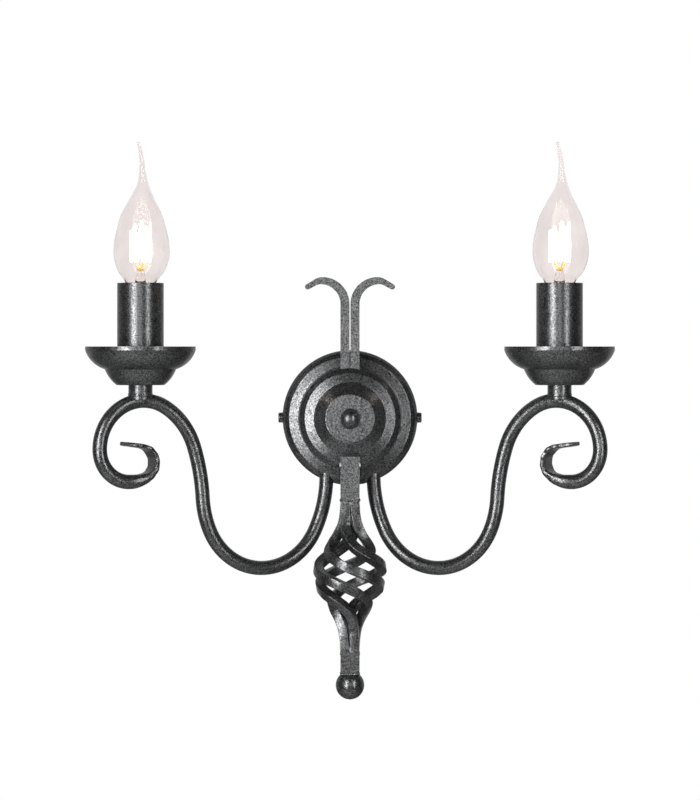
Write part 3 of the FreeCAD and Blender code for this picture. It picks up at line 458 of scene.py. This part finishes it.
def glowing(name, colour, strength):
    """A light of its own that a noise weakens a little here and there along its length: real for the hot wire,
    painted glow for the support wires and the patch in front of the wire.
    """
    material, tree, shader = new_material(name)
    value = ramp(tree, object_noise(tree, 2.0), 0.85, 1.0)
    tree.links.new(tinted(tree, value, colour), shader.inputs["Emission Color"])
    shader.inputs["Base Color"].default_value = (*colour, 1.0)
    shader.inputs["Emission Strength"].default_value = strength
    return material


IRON = powder_coat("powder_coat")
FORGED = powder_coat("forged_powder_coat", hammer=0.35)
ZINC = metal("zinc_plate", (0.62, 0.64, 0.68), roughness=0.32, feature=3.0, spread=0.2)
BRASS = metal("bright_brass", (0.83, 0.62, 0.28), roughness=0.24, feature=2.0, spread=0.15)
NICKEL = metal("nickel_plate", (0.76, 0.73, 0.68), roughness=0.2, feature=2.0, spread=0.12)
SOLDER = metal("dull_solder", (0.6, 0.6, 0.6), roughness=0.5, feature=0.8, spread=0.3)
GLASS = blown_glass()
HOT_WIRE = glowing("hot_filament", (1.0, 0.93, 0.8), strength=5.0)
# painted glow: the support wires and the stem's bead are no lamp, and this warm light stands in for the hot
# wire's light on them
PAINTED_SUPPORT_GLOW = glowing("support_wire_painted_glow", (0.9, 0.52, 0.12), strength=0.5)
# painted glow: a warm light on a patch that is no lamp, standing for the hot wire's halo
PAINTED_GLOW_PATCH = glowing("warm_painted_glow", (1.0, 0.8, 0.6), strength=0.9)
HOLDER = moulded("holder_moulding", (0.82, 0.8, 0.74), roughness=0.5)
SHEATH = moulded("lead_sheath", (0.85, 0.85, 0.82), roughness=0.45)
NYLON = moulded("terminal_nylon", (0.8, 0.8, 0.76), roughness=0.4)

# the filament slot's solids get the supports' painted glow
SLOT_FINISH = {
    "black_iron": IRON, "zinc_steel": ZINC, "brass": BRASS, "nickel": NICKEL, "solder": SOLDER,
    "clear_glass": GLASS, "stem_glass": GLASS, "filament": PAINTED_SUPPORT_GLOW, "holder_plastic": HOLDER,
    "lead_sheath": SHEATH, "terminal_nylon": NYLON,
}


def finish_cad_nodes():
    """Gives every carried-over solid the finish of its slot."""
    for row in frame["record"]["subparts"]:
        obj = NODES[row["node"]]
        obj.data.materials.clear()
        obj.data.materials.append(SLOT_FINISH[row["material_slot"]])


# ---- canopy -----------------------------------------------------------------
def rounded_line(corners, radius, steps=5):
    """A line through corners, each inner one replaced by a parabola that touches both of its sides at the
    radius from the corner, or half-way along a shorter side."""
    points = [corners[:1]]
    share = np.linspace(0, 1, steps + 1)[:, None]
    for before, corner, after in zip(corners[:-2], corners[1:-1], corners[2:]):
        reach = min(radius, np.linalg.norm(before - corner) / 2, np.linalg.norm(after - corner) / 2)
        start = corner + unit(before - corner) * reach
        end = corner + unit(after - corner) * reach
        points.append((1 - share) ** 2 * start + 2 * share * (1 - share) * corner + share ** 2 * end)
    points.append(corners[-1:])
    return np.concatenate(points)


def box_mesh(low, high):
    """A closed box between two corners."""
    corners = [(x, y, z) for x in (low[0], high[0]) for y in (low[1], high[1]) for z in (low[2], high[2])]
    faces = [(0, 1, 3, 2), (4, 6, 7, 5), (0, 4, 5, 1), (2, 3, 7, 6), (0, 2, 6, 4), (1, 5, 7, 3)]
    mesh = bpy.data.meshes.new("cut_box")
    mesh.from_pydata((np.array(corners) * MM).tolist(), [], faces)
    return mesh


def rod_mesh(start, end, radius):
    """A closed round rod between two points."""
    return tube_along("cut_rod", np.array([start, end], float), radius, CUT_ROD_SIDES)


def cut_out(obj, meshes):
    """Cuts closed meshes out of an object and returns what is left as a mesh."""
    tools = []
    for mesh in meshes:
        outward(mesh)
        tool = placed("cutter", mesh)
        tools.append(tool)
        modifier = obj.modifiers.new("cut", "BOOLEAN")
        modifier.operation = "DIFFERENCE"
        modifier.solver = "EXACT"
        modifier.object = tool
    graph = bpy.context.evaluated_depsgraph_get()
    left = bpy.data.meshes.new_from_object(obj.evaluated_get(graph))
    for tool in tools + [obj]:
        bpy.data.objects.remove(tool)
    return left


def canopy_cuts():
    """What is cut from the canopy: slots for the neck below and the fork above, round holes for the arms
    and the side screws."""
    cuts = [
        box_mesh((-NOTCH_HALF, -NECK_NOTCH_DEPTH, -CUT_END), (NOTCH_HALF, -NOTCH_FRONT, NECK_NOTCH_TOP)),
        box_mesh((-NOTCH_HALF, -FORK_NOTCH_DEPTH, FORK_NOTCH_LOW), (NOTCH_HALF, -NOTCH_FRONT, CUT_END)),
    ]
    for side in SIDES.values():
        arm_top, arm_below = (side * ARM_X, -ARM_DEPTH, ARM_TOP), (side * ARM_X, -ARM_DEPTH, -CUT_END)
        cuts.append(rod_mesh(arm_top, arm_below, TUBE_R + ARM_HOLE_ROOM))
        inside = (side * SCREW_HOLE_FROM, -SCREW_DEPTH, 0.0)
        outside = (side * SCREW_HOLE_TO, -SCREW_DEPTH, 0.0)
        cuts.append(rod_mesh(inside, outside, SCREW_HOLE_R))
    return cuts


def make_canopy():
    """The pressed shell: the line of creases, each slightly rounded, turned round the axis that stands out
    from the wall. Its inner face is the same line, a sheet's thickness less in radius and in depth."""
    creases = np.array(CANOPY_CREASES)
    inner = creases - SHEET
    inner[0, 1], inner[-1, 0] = 0.0, creases[-1, 0]
    outside, inside = rounded_line(creases, CREASE_ROUND), rounded_line(inner, CREASE_ROUND)
    loop = np.concatenate([outside, inside[::-1], outside[:1]])
    radius, depth = loop[:, :1], loop[:, 1:]
    turn = full_turn(CANOPY_SIDES)
    rings = [radius * np.cos(turn), np.broadcast_to(-depth, (len(loop), CANOPY_SIDES)), radius * np.sin(turn)]
    shell = grid_mesh("canopy_shell", np.stack(rings, -1))
    closed_seam(shell)
    outward(shell)
    left = cut_out(placed("canopy_shell", shell), canopy_cuts())
    left.materials.clear()
    piece("pressed_canopy", left, IRON, "fixture", ["canopy"], smooth_angle=24.0)


# ---- basket -----------------------------------------------------------------
def strand_line(share, start_angle):
    """Centre and angle of a strand at a share of the basket's height, from the top down. The radius grows
    and shrinks with a power of the sine of half a turn; the angle makes one full turn, slower at both ends."""
    inside = np.clip(share, 0.0, 1.0)
    start_radius = (BAR + BAR_GAP) / 2 * math.sqrt(2)
    reach = BASKET_RADIUS - BAR / 2 - BASKET_INSET - start_radius
    radius = start_radius + reach * np.sin(math.pi * inside ** BASKET_SKEW) ** BASKET_SHARPNESS
    turned = inside - TWIST_EASE * np.sin(2 * math.pi * inside) / (2 * math.pi)
    angle = math.radians(start_angle) + 2 * math.pi * turned
    height = BASKET_TOP + (BASKET_BOTTOM - BASKET_TOP) * share
    return np.stack([radius * np.cos(angle), -SPINE_DEPTH + radius * np.sin(angle), height], -1), angle


def strand_mesh(number):
    """A square rod twisted round the basket: its section is carried along the strand's line and turns with
    it, less the lag, which grows evenly between the ends. Its skin is moved in and out by the unevenness."""
    spare = STRAND_OVERLAP / (BASKET_TOP - BASKET_BOTTOM)
    share = np.linspace(-spare, 1.0 + spare, STRAND_STATIONS)
    centre, angle = strand_line(share, -45.0 - 90.0 * number)
    tangent = unit(np.gradient(centre, axis=0))
    away = np.stack([np.cos(angle), np.sin(angle), np.zeros_like(angle)], -1)
    away = unit(away - tangent * np.sum(away * tangent, -1, keepdims=True))
    across = np.cross(tangent, away)
    opened = np.clip((share - LAG_STARTS) / (1 - 2 * LAG_STARTS), 0.0, 1.0)
    turned = np.radians(45.0 + STRAND_LAG * opened)[:, None]
    first = away * np.cos(turned) + across * np.sin(turned)
    second = away * np.sin(turned) - across * np.cos(turned)
    grid = carried(centre, first, second, rounded_sections(BAR, BAR, BAR_CORNER))
    uneven = lumps(grid, STRAND_LUMP, STRAND_SEED + number) * STRAND_UNEVEN
    grid = grid + unit(grid - centre[:, None, :]) * uneven[..., None]
    return grid_mesh("strand_%d" % (number + 1), grid, capped=True)


def make_basket():
    """The four twisted rods."""
    for number in range(4):
        name = "basket_strand_%d" % (number + 1)
        piece("forged_strand_%d" % (number + 1), strand_mesh(number), FORGED, "fixture", [name])


# ---- arms -------------------------------------------------------------------
def follow(start, heading, arcs, step):
    """Points and headings along arcs in the arm's plane, each arc tangent to the last, about a step apart."""
    place = np.array(start, float)
    places, headings = [place[None, :]], [np.array([heading])]
    for radius, turn in arcs:
        way = math.copysign(1.0, turn)
        centre = place + way * radius * np.array([-math.sin(heading), math.cos(heading)])
        count = max(2, int(radius * math.radians(abs(turn)) / step))
        angles = heading + np.linspace(0, math.radians(turn), count + 1)[1:]
        points = centre + way * radius * np.stack([np.sin(angles), -np.cos(angles)], -1)
        places.append(points)
        headings.append(angles)
        place, heading = points[-1], angles[-1]
    return np.concatenate(places), np.concatenate(headings)


def tube_line():
    """The round tube's line in the arm's plane, with its headings: a straight run down, then the arcs."""
    straight = ARM_TOP - ARM_RUN
    line, headings = follow((0.0, straight), -math.pi / 2, ARM_ARCS, ARM_STEP)
    heights = np.linspace(ARM_TOP, straight, RUN_STATIONS, endpoint=False)
    run = np.stack([np.zeros(RUN_STATIONS), heights], -1)
    return np.concatenate([run, line]), np.concatenate([np.full(RUN_STATIONS, -math.pi / 2), headings])


def hammered_end(start, heading):
    """The flattened end: middle line, headings, and the width, thickness, corner radius and flatness there.

    Its outer edge follows the curl's arcs and a straight tip. The flatness eases in from 0 to 1 over the first
    arcs; width and thickness go with it from the tube's to the flat end's, and along the tip to the tip's.
    """
    edge_start = start + TUBE_R * np.array([-math.sin(heading), math.cos(heading)])
    edge, headings = follow(edge_start, heading, CURL_EDGE_ARCS, EDGE_STEP)
    along = np.linspace(0, CURL_TIP, TIP_STATIONS)[1:, None]
    tip = edge[-1] + along * np.array([math.cos(headings[-1]), math.sin(headings[-1])])
    along_tip = np.concatenate([np.zeros(len(edge)), along[:, 0] / CURL_TIP])
    edge = np.concatenate([edge, tip])
    headings = np.concatenate([headings, np.full(len(tip), headings[-1])])
    flattening = sum(abs(turn) for _, turn in CURL_EDGE_ARCS[:FLATTENING_ARCS])
    share = np.clip(np.abs(np.degrees(headings - heading)) / flattening, 0, 1)
    flat = share * share * (3 - 2 * share)
    width = (2 * TUBE_R + (CURL_WIDTH - 2 * TUBE_R) * flat
             + (CURL_TIP_WIDTH - CURL_WIDTH) * along_tip ** 3)
    thick = 2 * TUBE_R + (CURL_THICK - 2 * TUBE_R) * flat + (CURL_TIP_THICK - CURL_THICK) * along_tip
    corner = (1.0 - FLAT_CORNER * flat) * thick / 2
    inward = np.stack([np.sin(headings), -np.cos(headings)], -1)
    return edge + inward * (thick / 2)[:, None], headings, width, thick, corner, flat


def round_off_tip(widths, thicks, corners):
    """Rounds the tip off in its last stations: sizes fade there like the height of a quarter circle."""
    last = ROUND_OFF
    fade = np.sqrt(np.clip(1 - (np.arange(last) / ROUND_OFF_REACH) ** 2, 0, 1))
    corners[-last:] = np.minimum(corners[-last:], thicks[-last:] * fade / 2)
    widths[-last:] -= (1 - fade) * ROUND_OFF_WIDTH
    thicks[-last:] *= (1 - ROUND_OFF_THICK) + ROUND_OFF_THICK * fade
    corners[:] = np.minimum(corners, np.minimum(widths, thicks) / 2 - 1e-3)


def arm_mesh(side):
    """The bent tube and its hammered end: one section carried along both lines, in an upright plane turned
    out from the wall. Hammer marks move the skin in and out in proportion to the flatness."""
    tube, tube_headings = tube_line()
    middle, end_headings, width, thick, corner, flat = hammered_end(tube[-1], tube_headings[-1])
    line = np.concatenate([tube, middle[1:]])
    headings = np.concatenate([tube_headings, end_headings[1:]])
    widths = np.concatenate([np.full(len(tube), 2 * TUBE_R), width[1:]])
    thicks = np.concatenate([np.full(len(tube), 2 * TUBE_R), thick[1:]])
    corners = np.concatenate([np.full(len(tube), TUBE_R), corner[1:]])
    flatness = np.concatenate([np.zeros(len(tube)), flat[1:]])
    round_off_tip(widths, thicks, corners)
    way = np.array([side * math.cos(ARM_TURN), -math.sin(ARM_TURN), 0.0])
    origin = np.array([side * ARM_X, -ARM_DEPTH, 0.0])
    centre = origin + line[:, :1] * way + line[:, 1:] * UP
    inward = np.sin(headings)[:, None] * way - np.cos(headings)[:, None] * UP
    grid = carried(centre, np.cross(way, UP), inward, rounded_sections(widths, thicks, corners, steps=10))
    away = unit(grid - centre[:, None, :] + 1e-9)
    marks = sum(lumps(grid, size, seed) * depth for size, depth, seed in HAMMER_MARKS)
    grid = grid + away * (marks * flatness[:, None])[..., None]
    return grid_mesh("arm", grid, capped=True)


def make_arms():
    """Both arms."""
    for name, side in SIDES.items():
        piece("forged_arm_" + name, arm_mesh(side), IRON, "fixture", ["arm_" + name])


# ---- welds ------------------------------------------------------------------
def weld_ring(centre, half_width, rise, thick, corner, seed):
    """A weld run round a square bar: an oval carried round the bar's outline, its size rippled by a sine
    along the way and made uneven."""
    outline = rounded_sections(2 * half_width, 2 * half_width, corner, steps=6)
    closed = np.concatenate([outline, outline[:1]])
    lengths = np.concatenate([[0], np.cumsum(np.linalg.norm(np.diff(closed, axis=0), axis=1))])
    along = np.linspace(0, lengths[-1], 96, endpoint=False)
    x = np.interp(along, lengths, closed[:, 0])
    y = np.interp(along, lengths, closed[:, 1])
    path = np.stack([x, y, np.zeros_like(x)], -1)
    ripple = (1.0 + RIPPLE * np.sin(along * 2 * math.pi / RIPPLE_LENGTH)
              + RIPPLE_UNEVEN * lumps(path + seed, RIPPLE_LUMP, seed))[:, None]
    turn = full_turn(10)[None, :]
    oval = np.stack([np.cos(turn) * ripple * thick, np.sin(turn) * ripple * rise], -1)
    grid = carried(np.array(centre) + path, unit(path), UP, oval)
    return grid_mesh("ring", np.concatenate([grid, grid[:1]]))


def make_welds():
    """Beads where the strands leave the neck and the foot, and a run round the foot on the ball."""
    spots = []
    for number, (right, back) in enumerate(CORNERS[::-1]):
        for across, out, height, half_sizes, first_seed in WELD_SPOTS:
            centre = (right * across, -SPINE_DEPTH + back * out, height)
            spots.append(bead(centre, half_sizes, first_seed + number))
    piece("basket_weld_beads", joined_mesh("basket_weld_beads", spots), FORGED, "fixture")
    ring = weld_ring((0, -SPINE_DEPTH, BALL_WELD_HEIGHT), BALL_WELD_HALF, BALL_WELD_RISE, BALL_WELD_THICK,
                     BALL_WELD_CORNER, BALL_WELD_SEED)
    piece("ball_weld", ring, FORGED, "fixture")


def socket_weld(side):
    """A fillet of weld between the boss and the arm: a collar of circles from its top down. It narrows and
    drops most at the arm's two sides, bulges with half a sine, and its skin is uneven."""
    low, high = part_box("arm_socket_left" if side < 0 else "arm_socket_right")
    centre = upright_axis(low, high)
    turn = full_turn(64)
    along = np.cos(turn) * (side * math.cos(ARM_TURN)) + np.sin(turn) * -math.sin(ARM_TURN)
    across = np.sqrt(np.clip(1 - along ** 2, 0, 1))
    rows = []
    for share in np.linspace(0, 1, 9):
        radius = COLLAR_R - COLLAR_WAIST * share * across + COLLAR_BULGE * math.sin(math.pi * share)
        height = (COLLAR_TOP - share * (COLLAR_HEIGHT + COLLAR_SIDE_DROP * across ** 2)
                  - COLLAR_END_DROP * share * along ** 2)
        x, y = centre[0] + radius * np.cos(turn), centre[1] + radius * np.sin(turn)
        rows.append(np.stack([x, y, height], -1))
    bore = np.stack([rows[-1], rows[0]])
    bore[..., :2] = centre[:2] + (bore[..., :2] - centre[:2]) * COLLAR_BORE
    grid = np.concatenate([np.stack(rows), bore, rows[0][None]])
    uneven = lumps(grid, COLLAR_LUMP, COLLAR_SEED) * COLLAR_UNEVEN
    grid = grid + unit(grid - centre) * uneven[..., None]
    return grid_mesh("socket_weld", grid)


# ---- bulbs ------------------------------------------------------------------
def smooth_stations(stations, count):
    """Stations joined by cubic curves that pass through all of them with one slope at each, resampled to a
    number of rows equally far apart in height."""
    table = np.array(stations, float)
    height = table[:, 0]
    rows = np.linspace(height[0], height[-1], count)
    slopes = np.gradient(table[:, 1:], height, axis=0)
    index = np.clip(np.searchsorted(height, rows, side="right") - 1, 0, len(height) - 2)
    span = (height[index + 1] - height[index])[:, None]
    share = ((rows - height[index])[:, None]) / span
    square, cube = share ** 2, share ** 3
    from_below = ((2 * cube - 3 * square + 1) * table[index, 1:]
                  + (cube - 2 * square + share) * span * slopes[index])
    from_above = ((3 * square - 2 * cube) * table[index + 1, 1:]
                  + (cube - square) * span * slopes[index + 1])
    return np.column_stack([rows, from_below + from_above])


def envelope_mesh(axis):
    """The glass of a bulb, outside and inside: circles from the cap up to the drawn-out tip, with the radius
    and the lean of the flame's stations, less the wall's thickness for the inside. Both draw in to a point
    beyond the last circle, the outside above it and the inside below it."""
    stations = smooth_stations(FLAME, GLASS_ROWS)
    turn = full_turn(GLASS_SIDES)

    def rings(shrink):
        radius = np.maximum(stations[:, 1] - shrink, GLASS_BORE)[:, None]
        x = axis[0] + stations[:, 2][:, None] + radius * np.cos(turn)
        y = axis[1] + radius * np.sin(turn)
        z = np.broadcast_to(SEAT_HEIGHT + stations[:, 0][:, None], x.shape)
        return np.stack([x, y, z], -1)

    outer, inner = rings(0.0), rings(GLASS_WALL)
    tip, inner_tip = outer[-1].mean(axis=0), inner[-1].mean(axis=0)
    cap = [tip + (outer[-1] - tip) * share + UP * rise for share, rise in TIP_CAP]
    seal = [inner_tip + (inner[-1] - inner_tip) * share - UP * TIP_SEAL_DROP for share in TIP_SEAL]
    inside = np.concatenate([np.stack(seal), inner[::-1][1:]])[::-1]
    shell = grid_mesh("glass_outside", np.concatenate([outer, np.stack(cap)]), capped=True)
    hollow = grid_mesh("glass_inside", inside, capped=True)
    return shell, hollow


def cage_path(axis):
    """The hot wire: it climbs and falls in hairpins round most of a circle. Each leg is a sine made steeper
    by a power below 1, and two slower sines set the tops at uneven heights."""
    turn = np.linspace(0, 2 * math.pi * CAGE_SHARE, CAGE_STATIONS) - CAGE_START
    phase = np.sin(turn * CAGE_HAIRPINS)
    wave = np.sign(phase) * np.abs(phase) ** CAGE_SQUARENESS
    tops = CAGE_HIGH + CAGE_SWAY * np.sin(turn + CAGE_SWAY_START) + CAGE_RIPPLE * np.sin(turn * 3.0)
    height = SEAT_HEIGHT + (CAGE_LOW + tops) / 2 + wave * (tops - CAGE_LOW) / 2
    return np.stack([axis[0] + CAGE_RADIUS * np.cos(turn), axis[1] + CAGE_RADIUS * np.sin(turn), height], -1)


def support_wire(axis, turn):
    """A wire that holds the cage: from the stem out to the cage's foot, sagging with half a sine."""
    share = np.linspace(0, 1, SUPPORT_STATIONS)[:, None]
    foot_height, head_height = SEAT_HEIGHT + STEM_TOP - 1.0, SEAT_HEIGHT + CAGE_LOW + 1.0
    foot = axis + np.array([SUPPORT_FOOT_R * math.cos(turn), SUPPORT_FOOT_R * math.sin(turn), foot_height])
    head = axis + np.array([SUPPORT_HEAD_R * math.cos(turn), CAGE_RADIUS * math.sin(turn), head_height])
    bow = UP * (np.sin(math.pi * share) * SUPPORT_BOW)
    return tube_along("wire", foot + (head - foot) * share - bow, SUPPORT_R)


def make_bulb(name):
    """The glass and what glows in it: the hot wire, its supports with a bead on the stem, which carry painted
    glow, and a patch of painted glow in front of the wire that stands for its halo.
    """
    low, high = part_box("bulb_cap_" + name)
    axis = upright_axis(low, high)
    body = "bulb_" + name
    shell, hollow = envelope_mesh(axis)
    outward(shell)
    outward(hollow)
    hollow.flip_normals()
    piece("blown_bulb_" + name, joined_mesh("blown_bulb_" + name, [shell, hollow]), GLASS, body,
          ["bulb_glass_" + name], turned=True)
    hot = tube_along("filament", cage_path(axis), HOT_WIRE_R)
    stem_bead = bead((axis[0], axis[1], SEAT_HEIGHT + STEM_TOP), STEM_BEAD, STEM_BEAD_SEED)
    wires = [support_wire(axis, turn) for turn in SUPPORT_TURNS]
    supports = joined_mesh("filament_supports", wires + [stem_bead])
    # a flat patch of painted glow in front of the wire, where its halo is
    glow_patch_centre = (axis[0] + GLOW_PATCH_ASIDE, axis[1] - CAGE_RADIUS - GLOW_PATCH_FORWARD,
                  SEAT_HEIGHT + CAGE_HIGH - GLOW_PATCH_BELOW)
    glow_patch = bead(glow_patch_centre, GLOW_PATCH_HALF, GLOW_PATCH_SEED)
    piece("filament_wire_" + name, hot, HOT_WIRE, body, ["bulb_filament_" + name])
    # the supports and the stem's bead carry painted glow
    piece("filament_supports_" + name, supports, PAINTED_SUPPORT_GLOW, body)
    piece("filament_glow_patch_" + name, glow_patch, PAINTED_GLOW_PATCH, body)


# ---- studio -----------------------------------------------------------------
def studio_world():
    """What a ray meets where there is nothing: the camera sees white; glass and gloss see a room that
    brightens from front to back, gloss a much darker one; everything else gets a trace of light."""
    world = bpy.data.worlds.new("studio")
    bpy.context.scene.world = world
    world.use_nodes = True
    tree = world.node_tree
    tree.nodes.clear()
    place = add(tree, "ShaderNodeTexCoord")
    split = add(tree, "ShaderNodeSeparateXYZ")
    tree.links.new(place.outputs["Generated"], split.inputs["Vector"])
    backward = split.outputs["Y"]
    rays = add(tree, "ShaderNodeLightPath")
    glass_room = ramp(tree, backward, GLASS_FRONT, GLASS_BACK, low=0.3, high=0.75)
    gloss_room = ramp(tree, backward, ROOM_DIM, GLOSS_BACK, low=0.0, high=0.9)
    through = reckoned(tree, "MULTIPLY", rays.outputs["Is Transmission Ray"], glass_room)
    gloss = reckoned(tree, "MULTIPLY", rays.outputs["Is Glossy Ray"], gloss_room)
    seen = reckoned(tree, "MAXIMUM", rays.outputs["Is Camera Ray"], through)
    level = reckoned(tree, "MAXIMUM", reckoned(tree, "MAXIMUM", seen, gloss), ROOM_DIM)
    shader = add(tree, "ShaderNodeBackground", Color=(1.0, 1.0, 1.0, 1.0))
    tree.links.new(level, shader.inputs["Strength"])
    output = add(tree, "ShaderNodeOutputWorld")
    tree.links.new(shader.outputs[0], output.inputs["Surface"])


def studio_floor():
    """A plain pale floor that keeps the object's shadow. It has some light of its own for the camera and
    for glass, and a trace of it for gloss, so that they see it pale too."""
    material, tree, shader = new_material("pale_floor")
    shader.inputs["Base Color"].default_value = (FLOOR_GREY, FLOOR_GREY, FLOOR_GREY, 1.0)
    shader.inputs["Roughness"].default_value = FLOOR_ROUGHNESS
    rays = add(tree, "ShaderNodeLightPath")
    seen = reckoned(tree, "MAXIMUM", rays.outputs["Is Camera Ray"], rays.outputs["Is Transmission Ray"])
    gloss = reckoned(tree, "MULTIPLY", rays.outputs["Is Glossy Ray"], FLOOR_IN_GLOSS)
    pale = reckoned(tree, "MULTIPLY", reckoned(tree, "MAXIMUM", seen, gloss), FLOOR_SEEN)
    shader.inputs["Emission Color"].default_value = (1.0, 1.0, 1.0, 1.0)
    tree.links.new(pale, shader.inputs["Emission Strength"])
    mesh = bpy.data.meshes.new("floor")
    corners = [(-FLOOR_HALF, -FLOOR_HALF), (FLOOR_HALF, -FLOOR_HALF), (FLOOR_HALF, FLOOR_HALF),
               (-FLOOR_HALF, FLOOR_HALF)]
    mesh.from_pydata([(x, y, FLOOR_HEIGHT) for x, y in corners], [], [(0, 1, 2, 3)])
    mesh.materials.append(material)
    placed("floor", mesh)


def softbox(name, azimuth, height, distance, width, tall, power):
    """A soft rectangular lamp, aimed at the object."""
    data = bpy.data.lights.new(name, "AREA")
    data.shape = "RECTANGLE"
    data.size, data.size_y = width, tall
    data.energy = power
    lamp = placed(name, data)
    turn = math.radians(azimuth)
    lamp.location = (distance * math.sin(turn), -distance * math.cos(turn), height)
    way = Vector(LAMP_AIM) - lamp.location
    lamp.rotation_mode = "QUATERNION"
    lamp.rotation_quaternion = way.to_track_quat("-Z", "Y")


def studio_camera():
    """The camera of the photograph: straight ahead, shifted down."""
    data = bpy.data.cameras.new("camera")
    data.sensor_fit = "AUTO"
    data.sensor_width = SENSOR
    data.lens = LENS
    data.shift_y = SHIFT_Y
    camera = placed("camera", data)
    camera.location = (0.0, -CAMERA_DISTANCE, EYE_HEIGHT)
    camera.rotation_euler = (math.pi / 2, 0.0, 0.0)
    bpy.context.scene.camera = camera


finish_cad_nodes()
make_canopy()
make_basket()
make_arms()
make_welds()
for label, direction in SIDES.items():
    piece("socket_weld_" + label, socket_weld(direction), FORGED, "fixture")
    make_bulb(label)

studio_world()
studio_floor()
for label, settings in SOFTBOXES.items():
    softbox(label, *settings)
studio_camera()
bpy.context.scene.view_settings.view_transform = "Standard"
